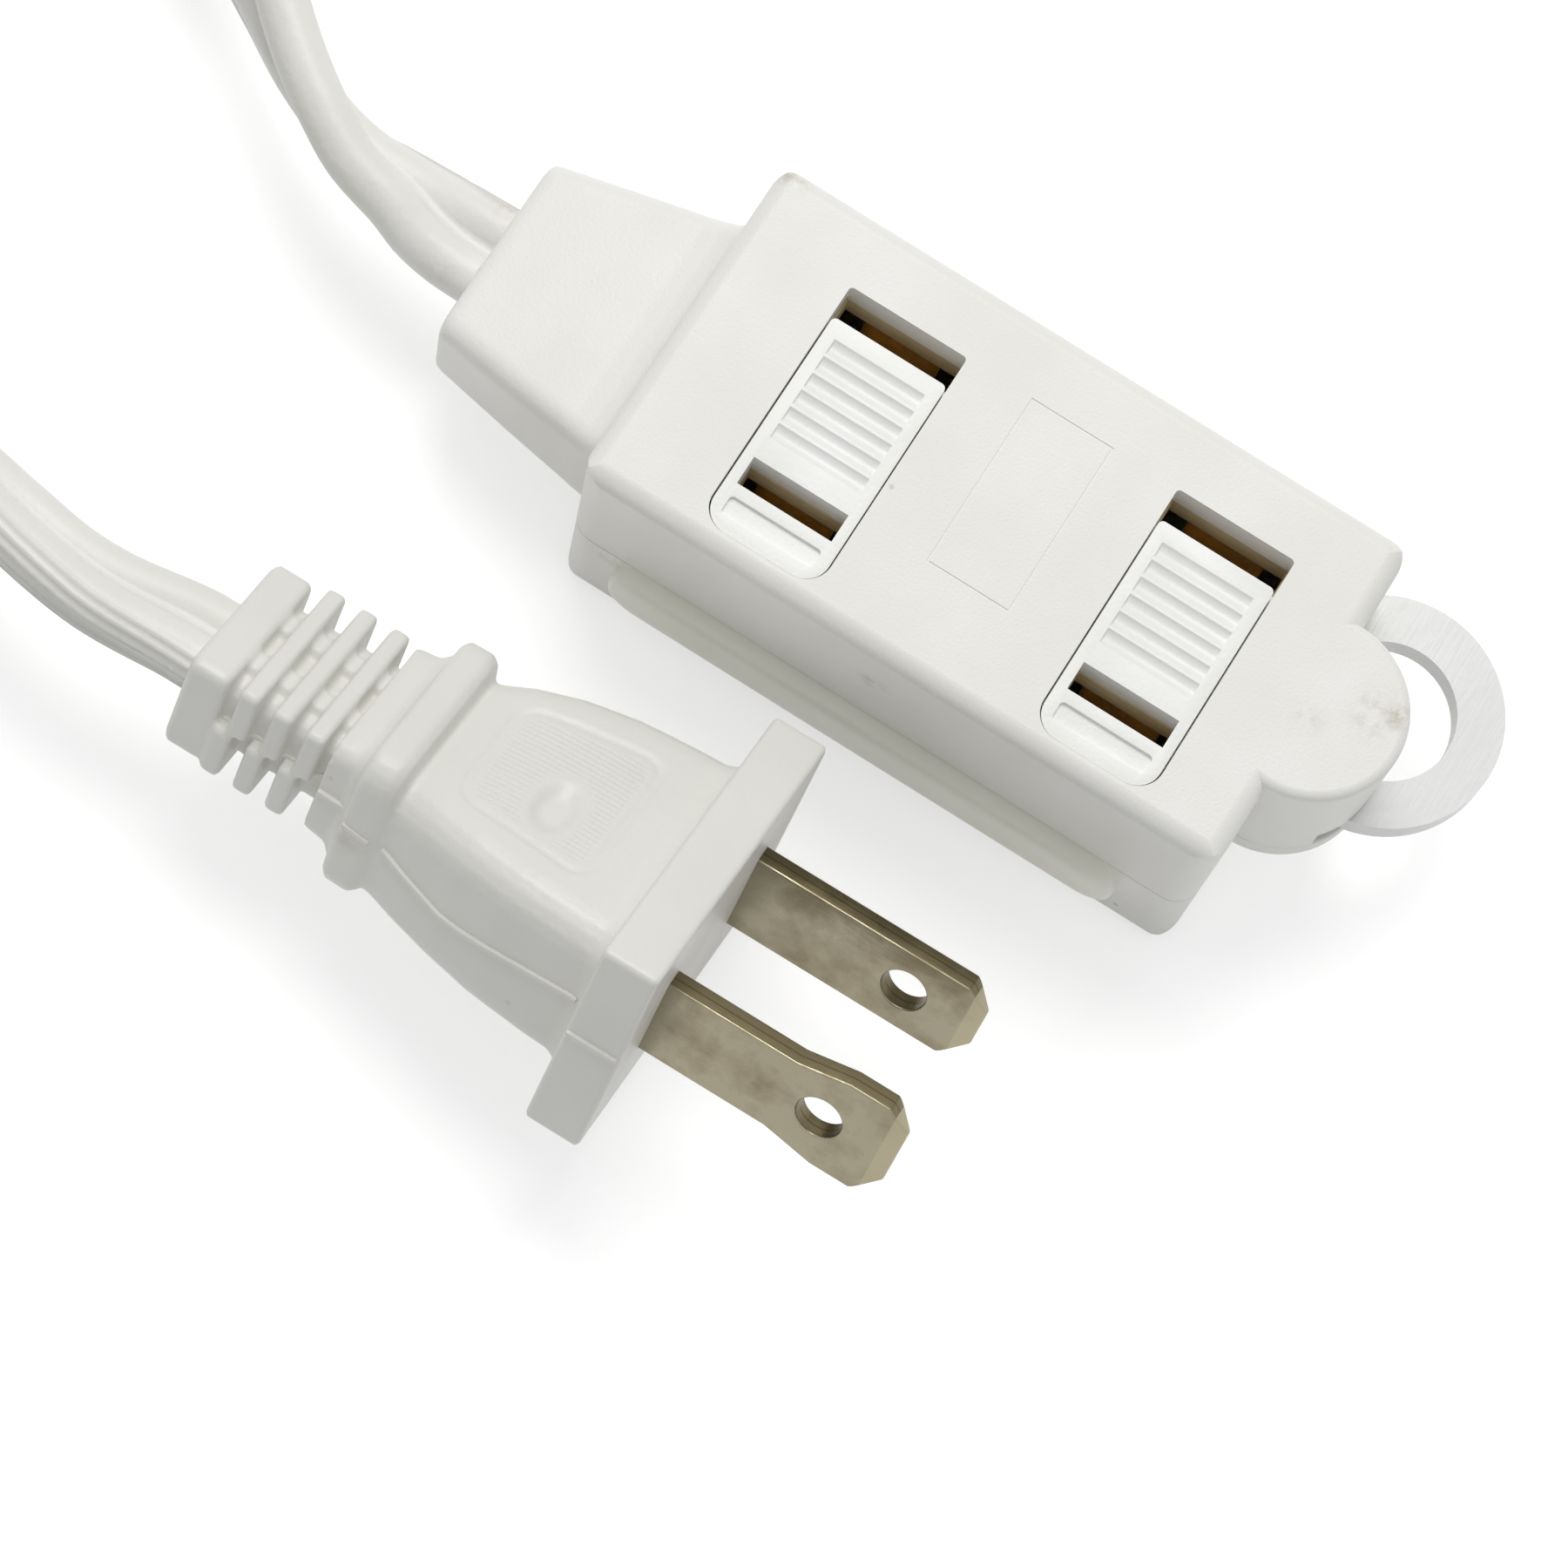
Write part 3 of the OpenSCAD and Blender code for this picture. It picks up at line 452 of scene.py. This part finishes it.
TIE_EDGE = 0.0003
strap = add_plastic("tie_nylon", shade(70, 72, 76), shade(52, 54, 58), 0.6,
                    grain=(900.0, 0.2, 0.00012), specks=0.0)
strap_tree = strap.node_tree
strap_wave = add_node(strap_tree, "ShaderNodeTexWave", {
    "Vector": add_node(strap_tree, "ShaderNodeTexCoord").outputs["Object"], "Scale": 450.0,
    "Distortion": 0.6}, bands_direction="DIAGONAL")
strap_bump = add_node(strap_tree, "ShaderNodeBump",
                      {"Height": strap_wave.outputs["Fac"], "Distance": 0.0001,
                       "Normal": strap_tree.nodes["Bump"].outputs[0]})
strap_tree.links.new(strap_bump.outputs[0],
                     strap_tree.nodes["Principled BSDF"].inputs["Normal"])
soften_copy("cord_tie", "tap", TIE_EDGE, strap)

# ---------------------------------------------------------------------------
# Tap housing
# Two halves of off-white moulded plastic, glued at the joint line; the roof carries an
# empty label frame, and the tongue and one rear corner are soiled from handling.
def dress(material, *names):
    # gives the solids themselves a material
    for name in names:
        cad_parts[name].data.materials[0] = material


BROWN = shade(150, 132, 95)
housing_plastic = add_plastic(
    "housing_plastic", shade(242, 241, 237), shade(238, 237, 231), 0.42,
    grain=(5000.0, 0.1, 0.000022), specks=0.5,
    soil=[((0.0264, 0.0016, 0.0202), 0.0028, 0.28, BROWN),
          ((0.0277, 0.0022, 0.0200), 0.0012, 0.55, BROWN),
          ((0.0230, -0.0010, 0.0202), 0.0016, 0.25, BROWN),
          ((-0.0222, 0.0114, 0.0202), 0.0018, 0.45, BROWN),
          ((-0.0010, -0.0122, 0.0150), 0.0016, 0.35, shade(120, 116, 104)),
          ((-0.0195, -0.0122, 0.0080), 0.0030, 0.35, shade(190, 180, 145)),
          ((0.0226, 0.0118, 0.0202), 0.0018, 0.35, shade(215, 205, 170))])
dress(housing_plastic, "upper_housing", "lower_housing")

# ---------------------------------------------------------------------------
# Sliding outlet covers
# Two plates of a glossier and whiter plastic, with finger grooves across them. Each
# slides along its track in the roof to shut the slots of one outlet.
cover_plastic = add_plastic("cover_plastic", shade(245, 245, 243), shade(239, 239, 235), 0.34,
                            grain=(3200.0, 0.3, 0.00002), specks=0.2)
COVER_EDGE = 0.00008
for cover_name in ("rear_cover", "front_cover"):
    soften_copy(cover_name, cover_name, COVER_EDGE, cover_plastic)

# ---------------------------------------------------------------------------
# Hanging ring
# A flat ring of cool white plastic, with fine handling scratches all in one direction.
# It turns on an upright post inside the slot of the tongue.
ring_plastic = add_plastic("ring_plastic", shade(235, 235, 234), shade(230, 230, 229), 0.30,
                           grain=(1200.0, 0.6, 0.00002), specks=0.9)
ring_tree = ring_plastic.node_tree
ring_turned = add_node(ring_tree, "ShaderNodeMapping", {
    "Vector": add_node(ring_tree, "ShaderNodeTexCoord").outputs["Object"],
    "Rotation": (0, 0, math.radians(25)), "Scale": (5000.0, 200.0, 1.0)})
ring_scratch = add_node(ring_tree, "ShaderNodeTexNoise",
                        {"Vector": ring_turned.outputs[0], "Scale": 1.0, "Detail": 2.0})
ring_bump = add_node(ring_tree, "ShaderNodeBump",
                     {"Height": ring_scratch.outputs[0], "Distance": 0.000015,
                      "Normal": ring_tree.nodes["Bump"].outputs[0]})
ring_tree.links.new(ring_bump.outputs[0], ring_tree.nodes["Principled BSDF"].inputs["Normal"])
dress(ring_plastic, "hanging_ring")

# ---------------------------------------------------------------------------
# Inside of the tap
# A plate of brown fibre board under the roof carries the blade slots; the contacts below
# it are brass strip with folded spring leaves, fed by two copper conductors.
fibre_board = add_plastic("fibre_board", shade(216, 200, 166), shade(184, 164, 130), 0.6,
                          grain=(900.0, 0.5, 0.00008), specks=0.3)
dress(fibre_board, "contact_carrier")


def add_metal(name, bright, dull, roughness, stretch):
    # rolled metal: fine lines along one direction and dull stains
    material = bpy.data.materials.new(name)
    material.use_nodes = True
    tree = material.node_tree
    shader = tree.nodes["Principled BSDF"]
    place = add_node(tree, "ShaderNodeTexCoord").outputs["Object"]
    lines = add_node(tree, "ShaderNodeMapping", {"Vector": place, "Scale": stretch})
    rolled = add_node(tree, "ShaderNodeTexNoise",
                      {"Vector": lines.outputs[0], "Scale": 1.0, "Detail": 3.0})
    stain = add_node(tree, "ShaderNodeTexNoise",
                     {"Vector": place, "Scale": 260.0, "Detail": 5.0, "Roughness": 0.65})
    dirty = add_node(tree, "ShaderNodeMapRange", {0: stain.outputs[0], 1: 0.45, 2: 0.72})
    colour = add_node(tree, "ShaderNodeMix", {0: dirty.outputs[0], 6: bright, 7: dull},
                      data_type="RGBA")
    tree.links.new(colour.outputs[2], shader.inputs["Base Color"])
    gloss = add_node(tree, "ShaderNodeMapRange", {0: dirty.outputs[0], 3: roughness,
                                                  4: roughness + 0.25})
    tree.links.new(gloss.outputs[0], shader.inputs["Roughness"])
    bump = add_node(tree, "ShaderNodeBump", {"Height": rolled.outputs[0], "Distance": 0.000015})
    tree.links.new(bump.outputs[0], shader.inputs["Normal"])
    shader.inputs["Metallic"].default_value = 1.0
    return material


brass = add_metal("contact_brass", shade(222, 190, 128), shade(176, 142, 84), 0.42,
                  (200.0, 5000.0, 5000.0))
dress(brass, "neutral_bus", "hot_bus", "narrow_crimp", "wide_crimp")
dress(add_metal("conductor_copper", shade(205, 130, 90), shade(150, 84, 54), 0.35,
                (300.0, 6000.0, 6000.0)),
      "tap_neutral_wire", "tap_hot_wire", "plug_narrow_wire", "plug_wide_wire")


# ---------------------------------------------------------------------------
# Cord block
# The same off-white plastic as the housing: a tapered block round the cord's end, with
# soft edges and a hollow fillet where it meets the tap's rear wall.
LOFT_EDGE_STEPS = 4
LEAST_RUN = 0.01
MELT_VOXEL = 0.2
MELT_ROUNDS = 2
MILLIMETRE = 0.001


def add_loft(name, sections, edge, middle=0.0):
    # a bar along +X through (place, half across, lowest, highest), in millimetres, with
    # its four long edges rounded
    bpy.ops.object.select_all(action="DESELECT")
    bpy.ops.mesh.primitive_plane_add(size=2, rotation=(0, math.radians(90), 0))
    bar = bpy.context.active_object
    bar.name = name
    bpy.ops.object.transform_apply(location=True, rotation=True, scale=True)
    bpy.ops.object.mode_set(mode="EDIT")
    bpy.ops.mesh.select_all(action="SELECT")
    x, across, low, high = sections[0]
    bpy.ops.transform.resize(value=(1, across, (high - low) / 2))
    bpy.ops.transform.translate(value=(x, middle, (high + low) / 2))
    for x2, across2, low2, high2 in sections[1:]:
        bpy.ops.mesh.extrude_region_move(TRANSFORM_OT_translate={
            "value": (x2 - x, 0, (high2 + low2 - high - low) / 2)})
        bpy.ops.transform.resize(value=(1, across2 / across, (high2 - low2) / (high - low)))
        x, across, low, high = x2, across2, low2, high2
    bpy.ops.mesh.select_all(action="SELECT")
    bpy.ops.mesh.normals_make_consistent(inside=False)
    bpy.ops.mesh.select_all(action="DESELECT")
    bpy.ops.mesh.select_mode(type="EDGE")
    bpy.ops.object.mode_set(mode="OBJECT")
    for e in bar.data.edges:
        a, b = (bar.data.vertices[v].co for v in e.vertices)
        e.select = abs(a.x - b.x) > LEAST_RUN
    bpy.ops.object.mode_set(mode="EDIT")
    bpy.ops.mesh.bevel(offset=edge, segments=LOFT_EDGE_STEPS, affect="EDGES")
    bpy.ops.object.mode_set(mode="OBJECT")
    return bar


def fuse(name, pieces, rounds):
    # melts overlapping bars into one soft moulded form, smoothed in a number of rounds
    bpy.ops.object.select_all(action="DESELECT")
    for piece in pieces:
        piece.select_set(True)
    bpy.context.view_layer.objects.active = pieces[0]
    if len(pieces) > 1:
        bpy.ops.object.join()
    form = bpy.context.active_object
    form.name = name
    form.data.name = name
    melt = form.modifiers.new("melt", "REMESH")
    melt.mode = "VOXEL"
    melt.voxel_size = MELT_VOXEL
    bpy.ops.object.modifier_apply(modifier="melt")
    soften = form.modifiers.new("soften", "SMOOTH")
    soften.factor = 0.5
    soften.iterations = rounds
    bpy.ops.object.modifier_apply(modifier="soften")
    bpy.ops.object.shade_smooth()
    return form


def set_down(form, place, turn):
    # brings a form that was made in millimetres to its place in metres
    only(form)
    form.scale = (MILLIMETRE, MILLIMETRE, MILLIMETRE)
    form.location = place
    form.rotation_euler = turn
    bpy.ops.object.transform_apply(location=True, rotation=True, scale=True)


block = add_loft("block", [
    (-36.3, 6.5, 5.7, 12.5), (-36.1, 6.9, 5.3, 12.9), (-35.6, 7.05, 5.2, 13.05),
    (-30.0, 8.1, 5.25, 13.9), (-25.6, 8.85, 5.3, 14.65), (-24.4, 9.1, 5.4, 15.0),
    (-23.6, 9.2, 5.4, 15.5), (-23.0, 9.25, 5.4, 16.4)], 1.2)
block = fuse("cord_block_shell", [block], MELT_ROUNDS)
set_down(block, (0, 0, 0), (0, 0, 0))
block.data.materials.clear()
block.data.materials.append(housing_plastic)
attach(block, "tap")
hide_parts("cord_block")

# ---------------------------------------------------------------------------
# Grip bars
# A softer plastic, slightly yellowed, moulded into both long sides: each bar stands proud
# of the wall with a rounded face and round ends.
GRIP_MIDDLE = (-0.3, 12.1, 6.3)
GRIP_HALF = 18.9
GRIP_HALF_HEIGHT = 2.5
GRIP_PROUD = 1.45
GRIP_EDGE = 0.3
GRIP_ROUNDS = 40
GRIP_END_STEPS = 6
GRIP_END_TURN = 82
grip_plastic = add_plastic(
    "grip_plastic", shade(249, 248, 238), shade(244, 242, 229), 0.36,
    grain=(2400.0, 0.8, 0.00003), specks=0.6,
    soil=[((-0.0190, -0.0130, 0.0060), 0.0020, 0.25, shade(200, 190, 160)),
          ((0.0120, -0.0130, 0.0050), 0.0040, 0.25, shade(200, 190, 150))])
for side, node in ((-1, "near_grip_bar"), (1, "far_grip_bar")):
    grip_sections = []
    for i in range(-GRIP_END_STEPS, GRIP_END_STEPS + 1):
        # the ends are half rounds, so the sections close in over the last stretch
        turn = math.radians(GRIP_END_TURN * (i / GRIP_END_STEPS))
        x = GRIP_HALF_HEIGHT * math.sin(turn)
        if i:
            x += math.copysign(GRIP_HALF - GRIP_HALF_HEIGHT, i)
        half = GRIP_HALF_HEIGHT * math.cos(turn)
        grip_sections.append((GRIP_MIDDLE[0] + x, GRIP_PROUD, GRIP_MIDDLE[2] - half,
                              GRIP_MIDDLE[2] + half))
    bar = add_loft("bar", grip_sections, GRIP_EDGE, side * GRIP_MIDDLE[1])
    bar = fuse(node + "_shaped", [bar], GRIP_ROUNDS)
    set_down(bar, (0, 0, 0), (0, 0, 0))
    bar.data.materials.clear()
    bar.data.materials.append(grip_plastic)
    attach(bar, "tap")
    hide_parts(node)

# ---------------------------------------------------------------------------
# Plug body
# One piece of soft white vinyl moulded round the bridge: a flange, a tapered grip with a
# hatched thumb pad on both faces, a ridge and a ribbed strain relief. The two halves of
# its mould leave a thin line of flash round the middle.
PLUG_PLACE = (-0.00081, -0.03171, 0.01302)
PLUG_TURN = Euler((math.radians(-28.36), math.radians(-1.23), math.radians(0.3)), "XYZ")
GRIP = [(-20.6, 6.7, 4.3), (-19.3, 6.95, 4.6), (-17.5, 7.65, 5.1), (-14.5, 8.6, 5.55),
        (-11.0, 9.3, 5.8), (-7.0, 9.65, 5.95), (-4.9, 9.75, 6.0), (-4.2, 10.0, 6.25),
        (-3.7, 10.5, 6.8)]
GRIP_LOW = 5.6
RIB_PITCH = 2.35
FIRST_RIB = -27.0
FIRST_TIE_BAR = -25.9
LOWER_RIB_SHIFT = -0.8
plug_bars = [
    add_loft("flange", [(-4.0, 12.05, -8.15, 8.15), (-3.85, 12.2, -8.3, 8.3),
                        (-0.35, 12.2, -8.3, 8.3), (-0.2, 12.05, -8.15, 8.15)], 0.3),
    add_loft("grip", [(x, across, -max(high, GRIP_LOW), high) for x, across, high in GRIP], 2.1),
    add_loft("ridge", [(-22.7, 7.0, -5.5, 5.5), (-22.3, 7.3, -5.9, 5.9), (-20.7, 7.3, -5.95, 5.95),
                       (-20.2, 7.1, -5.6, 5.6), (-19.9, 6.8, -4.5, 4.5)], 1.7),
    add_loft("step", [(-25.0, 5.8, -4.1, 4.1), (-23.4, 5.9, -4.3, 4.3), (-22.5, 6.6, -5.0, 5.0)],
             1.2),
    add_loft("sleeve", [(-34.6, 4.6, -2.7, 2.7), (-24.6, 4.6, -2.8, 2.8)], 1.2),
    add_loft("collar", [(-35.4, 5.2, -3.5, 3.5), (-35.1, 5.6, -3.8, 3.8), (-32.9, 5.6, -3.8, 3.8),
                        (-32.6, 5.4, -3.6, 3.6)], 0.6)]
for i in range(3):
    rear = FIRST_RIB - RIB_PITCH * i
    plug_bars.append(add_loft("rib", [
        (rear, 5.7, 0.0, 3.8), (rear + 0.2, 5.8, 0.0, 4.0),
        (rear + 1.1, 5.8, 0.0, 4.0), (rear + 1.3, 5.7, 0.0, 3.8)], 0.3))
    rear += LOWER_RIB_SHIFT
    plug_bars.append(add_loft("rib", [
        (rear, 5.7, -3.8, 0.0), (rear + 0.2, 5.8, -4.0, 0.0),
        (rear + 1.1, 5.8, -4.0, 0.0), (rear + 1.3, 5.7, -3.8, 0.0)], 0.3))
for i in range(4):
    # short bars that tie neighbouring ribs together
    rear = FIRST_TIE_BAR - RIB_PITCH * i
    for across in (-2.1, 1.9):
        plug_bars.append(add_loft("tie_bar", [(rear, 0.9, 0.0, 3.3), (rear + 1.4, 0.9, 0.0, 3.3)],
                                  0.3, across))
        plug_bars.append(add_loft("tie_bar", [(rear - 0.8, 0.9, -3.3, 0.0),
                                              (rear + 0.6, 0.9, -3.3, 0.0)], 0.3, across))
plug = fuse("plug_shell", plug_bars, MELT_ROUNDS)


def soft_step(x):
    # from 0 to 1 without a corner
    x = min(1, max(0, x))
    return x * x * (3 - 2 * x)


PAD_REAR = -17.3
PAD_FRONT = -7.8
PAD_REAR_HALF = 4.6
PAD_FRONT_HALF = 5.9
PAD_CORNER = 1.6
PAD_DEPTH = 0.06
PAD_EDGE = 0.5
PAD_LEAST_HEIGHT = 4.0
PAD_GROOVE = 0.16
PAD_GROOVE_REACH = 0.45
DIMPLE_PLACE = (-11.8, -1.8)
DIMPLE_HALF = (1.7, 2.7)
DIMPLE_DEPTH = 0.5
DIMPLE_EDGE = 0.65
HATCH_PITCH = 0.00042
HATCH_DEPTH = 0.000014
HATCH_FADE = 0.4
HATCH_DIMPLE_FADE = 0.3


def inside_pad(x, y):
    # distance inside the rounded outline of the thumb pad, negative outside
    share = (x - PAD_REAR) / (PAD_FRONT - PAD_REAR)
    half = PAD_REAR_HALF + share * (PAD_FRONT_HALF - PAD_REAR_HALF)
    from_end = min(x - PAD_REAR, PAD_FRONT - x)
    from_side = half - abs(y)
    if from_end < PAD_CORNER and from_side < PAD_CORNER:
        return PAD_CORNER - math.hypot(PAD_CORNER - from_end, PAD_CORNER - from_side)
    return min(from_end, from_side)


pad_mask = plug.data.attributes.new("pad", "FLOAT", "POINT")
for i, v in enumerate(plug.data.vertices):
    if abs(v.co.z) < PAD_LEAST_HEIGHT:
        continue
    x, y = v.co.x, v.co.y
    deep = inside_pad(x, y)
    if deep > -PAD_GROOVE_REACH:
        # a groove round the pad, the slightly sunk pad and an oval thumb dimple in it
        sink = PAD_GROOVE * soft_step(1 - abs(deep) / PAD_GROOVE_REACH)
        sink += PAD_DEPTH * soft_step(deep / PAD_EDGE)
        oval = math.hypot((x - DIMPLE_PLACE[0]) / DIMPLE_HALF[0],
                          (y - DIMPLE_PLACE[1]) / DIMPLE_HALF[1])
        sink += DIMPLE_DEPTH * soft_step((1 - oval) / DIMPLE_EDGE)
        v.co.z -= math.copysign(sink, v.co.z)
        # the hatch fades out at the pad's edge and round the dimple
        pad_mask.data[i].value = (soft_step((deep - PAD_EDGE) / HATCH_FADE)
                                  * soft_step((oval - 1.0) / HATCH_DIMPLE_FADE))

# The line of flash stands a little proud and wanders up and down along the plug; each
# stretch is place, half across and height, in millimetres.
FLASH_HEIGHT = 0.36
FLASH_REACH = 0.24
flash_runs = [[(-32.4, 4.6, 0.1), (-25.1, 4.6, 0.1)], [(-24.9, 5.85, 0.2), (-22.9, 6.0, 0.3)],
              [(-22.4, 7.2, 0.3), (-20.5, 7.2, 0.0)],
              [(-19.6, 6.9, -0.15), (-17.5, 7.65, -0.35), (-14.5, 8.6, -0.6), (-13.0, 8.9, -0.5),
               (-11.0, 9.3, -0.1), (-9.0, 9.47, 0.2), (-7.0, 9.65, 0.5), (-4.9, 9.75, 0.72),
               (-4.5, 9.8, 0.72)],
              [(-3.85, 12.2, 0.55), (-0.4, 12.2, 0.55)]]
flash = [add_loft("flash", [(x, across + FLASH_REACH, rise - FLASH_HEIGHT / 2,
                             rise + FLASH_HEIGHT / 2) for x, across, rise in run], 0.1)
         for run in flash_runs]
bpy.ops.object.select_all(action="DESELECT")
for run in flash:
    run.select_set(True)
plug.select_set(True)
bpy.context.view_layer.objects.active = plug
bpy.ops.object.join()
set_down(plug, PLUG_PLACE, PLUG_TURN)
plug_vinyl = add_plastic("plug_vinyl", shade(232, 231, 226), shade(227, 226, 220), 0.40,
                         grain=(1600.0, 0.8, 0.00004), specks=0.25,
                         soil=[((-0.0228, -0.0385, 0.0155), 0.0022, 0.4, shade(190, 180, 150)),
                               ((-0.0224, -0.0395, 0.0075), 0.0018, 0.5, shade(180, 168, 130)),
                               ((-0.0395, -0.0372, 0.0110), 0.0024, 0.4, shade(190, 180, 140))])
vinyl = plug_vinyl.node_tree
vinyl_place = add_node(vinyl, "ShaderNodeMapping", {
    "Vector": add_node(vinyl, "ShaderNodeTexCoord").outputs["Object"],
    "Location": PLUG_PLACE, "Rotation": tuple(PLUG_TURN)}, vector_type="TEXTURE")
vinyl_axes = add_node(vinyl, "ShaderNodeSeparateXYZ", {0: vinyl_place.outputs[0]})
hatch = []
for axis in (0, 1):
    turns = add_node(vinyl, "ShaderNodeMath", {0: vinyl_axes.outputs[axis],
                                               1: 2 * math.pi / HATCH_PITCH}, operation="MULTIPLY")
    hatch.append(add_node(vinyl, "ShaderNodeMath", {0: turns.outputs[0]}, operation="SINE"))
crossed = add_node(vinyl, "ShaderNodeMath", {0: hatch[0].outputs[0], 1: hatch[1].outputs[0]},
                   operation="ADD")
pad_seen = add_node(vinyl, "ShaderNodeAttribute", attribute_name="pad")
pad_hatch = add_node(vinyl, "ShaderNodeMath", {0: crossed.outputs[0], 1: pad_seen.outputs["Fac"]},
                     operation="MULTIPLY")
vinyl_bump = add_node(vinyl, "ShaderNodeBump",
                      {"Height": pad_hatch.outputs[0], "Distance": HATCH_DEPTH,
                       "Normal": vinyl.nodes["Bump"].outputs[0]})
vinyl.links.new(vinyl_bump.outputs[0], vinyl.nodes["Principled BSDF"].inputs["Normal"])
plug.data.materials.clear()
plug.data.materials.append(plug_vinyl)
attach(plug, "tap")
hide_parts("plug_body")

# ---------------------------------------------------------------------------
# Blades and bridge
# Each blade is brass strip folded double, with a worn nickel finish, rounded edges and
# the seam of the fold along them; the bridge is hard pale nylon, buried in the vinyl. The
# thinned tips carry a painted highlight: a lighter tone for the light their chamfer catches.
BLADE_SPACING = 0.0127
BLADE_TIP = 0.0169
TIP_LENGTH = 0.0013
TIP_SHARE = 0.62
BLADE_EDGE = 0.00014
SEAM_HALF = 0.00007


def thin_tip(piece):
    # cuts the blade across near its tip and thins all that lies beyond the cut
    turn = PLUG_TURN.to_matrix()
    only(piece)
    bpy.ops.object.mode_set(mode="EDIT")
    bpy.ops.mesh.select_all(action="SELECT")
    bpy.ops.mesh.bisect(
        plane_co=Vector(PLUG_PLACE) + turn @ Vector((BLADE_TIP - TIP_LENGTH, 0, 0)),
        plane_no=turn @ Vector((1, 0, 0)))
    bpy.ops.object.mode_set(mode="OBJECT")
    for v in piece.data.vertices:
        place = turn.transposed() @ (v.co - Vector(PLUG_PLACE))
        beyond = (place.x - BLADE_TIP + TIP_LENGTH) / TIP_LENGTH
        if beyond > 0:
            middle = math.copysign(BLADE_SPACING / 2, place.y)
            place.y = middle + (place.y - middle) * (1 - TIP_SHARE * beyond)
            v.co = Vector(PLUG_PLACE) + turn @ place


blade_nickel = add_metal("blade_nickel", shade(151, 144, 124), shade(133, 124, 101), 0.26,
                         (500.0, 9000.0, 9000.0))
blade_tree = blade_nickel.node_tree
blade_shader = blade_tree.nodes["Principled BSDF"]
blade_place = add_node(blade_tree, "ShaderNodeMapping", {
    "Vector": add_node(blade_tree, "ShaderNodeTexCoord").outputs["Object"],
    "Location": PLUG_PLACE, "Rotation": tuple(PLUG_TURN)}, vector_type="TEXTURE")
blade_axes = add_node(blade_tree, "ShaderNodeSeparateXYZ", {0: blade_place.outputs[0]})
blade_side = add_node(blade_tree, "ShaderNodeMath", {0: blade_axes.outputs["Y"]},
                      operation="ABSOLUTE")
blade_seam = add_node(blade_tree, "ShaderNodeMath",
                      {0: blade_side.outputs[0], 1: BLADE_SPACING / 2, 2: SEAM_HALF},
                      operation="COMPARE")
plug_y = PLUG_TURN.to_matrix() @ Vector((0, 1, 0))
blade_facing = add_node(blade_tree, "ShaderNodeVectorMath", {
    0: add_node(blade_tree, "ShaderNodeTexCoord").outputs["Normal"], 1: tuple(plug_y)},
    operation="DOT_PRODUCT")
blade_flat = add_node(blade_tree, "ShaderNodeMath", {0: blade_facing.outputs["Value"]},
                      operation="ABSOLUTE")
blade_edge = add_node(blade_tree, "ShaderNodeMapRange", {0: blade_flat.outputs[0], 1: 0.1, 2: 0.4,
                                                         3: 1.0, 4: 0.0})
blade_line = add_node(blade_tree, "ShaderNodeMath", {0: blade_seam.outputs[0],
                                                     1: blade_edge.outputs[0]},
                      operation="MULTIPLY")
blade_metal = blade_shader.inputs["Base Color"].links[0].from_socket
blade_rim = add_node(blade_tree, "ShaderNodeMix",
                     {0: blade_edge.outputs[0], 6: blade_metal, 7: shade(114, 105, 80)},
                     data_type="RGBA")
blade_colour = add_node(blade_tree, "ShaderNodeMix",
                        {0: blade_line.outputs[0], 6: blade_rim.outputs[2], 7: shade(96, 84, 62)},
                        data_type="RGBA")
# painted highlight: all beyond the thinning cut gets a lighter tone, standing in for the light the
# tip's chamfer catches
blade_tip_highlight_mask = add_node(blade_tree, "ShaderNodeMath",
                      {0: blade_axes.outputs["X"], 1: BLADE_TIP - TIP_LENGTH},
                      operation="GREATER_THAN")
blade_tip_highlight = add_node(blade_tree, "ShaderNodeMix",
                        {0: blade_tip_highlight_mask.outputs[0], 6: blade_colour.outputs[2],
                         7: shade(160, 153, 128)}, data_type="RGBA")
blade_tree.links.new(blade_tip_highlight.outputs[2], blade_shader.inputs["Base Color"])
for blade_name in ("narrow_blade", "wide_blade"):
    blade = soften_copy(blade_name, "tap", BLADE_EDGE, blade_nickel, thin_tip)
dress(add_plastic("bridge_nylon", shade(214, 212, 204), shade(204, 202, 192), 0.5),
      "plug_bridge")
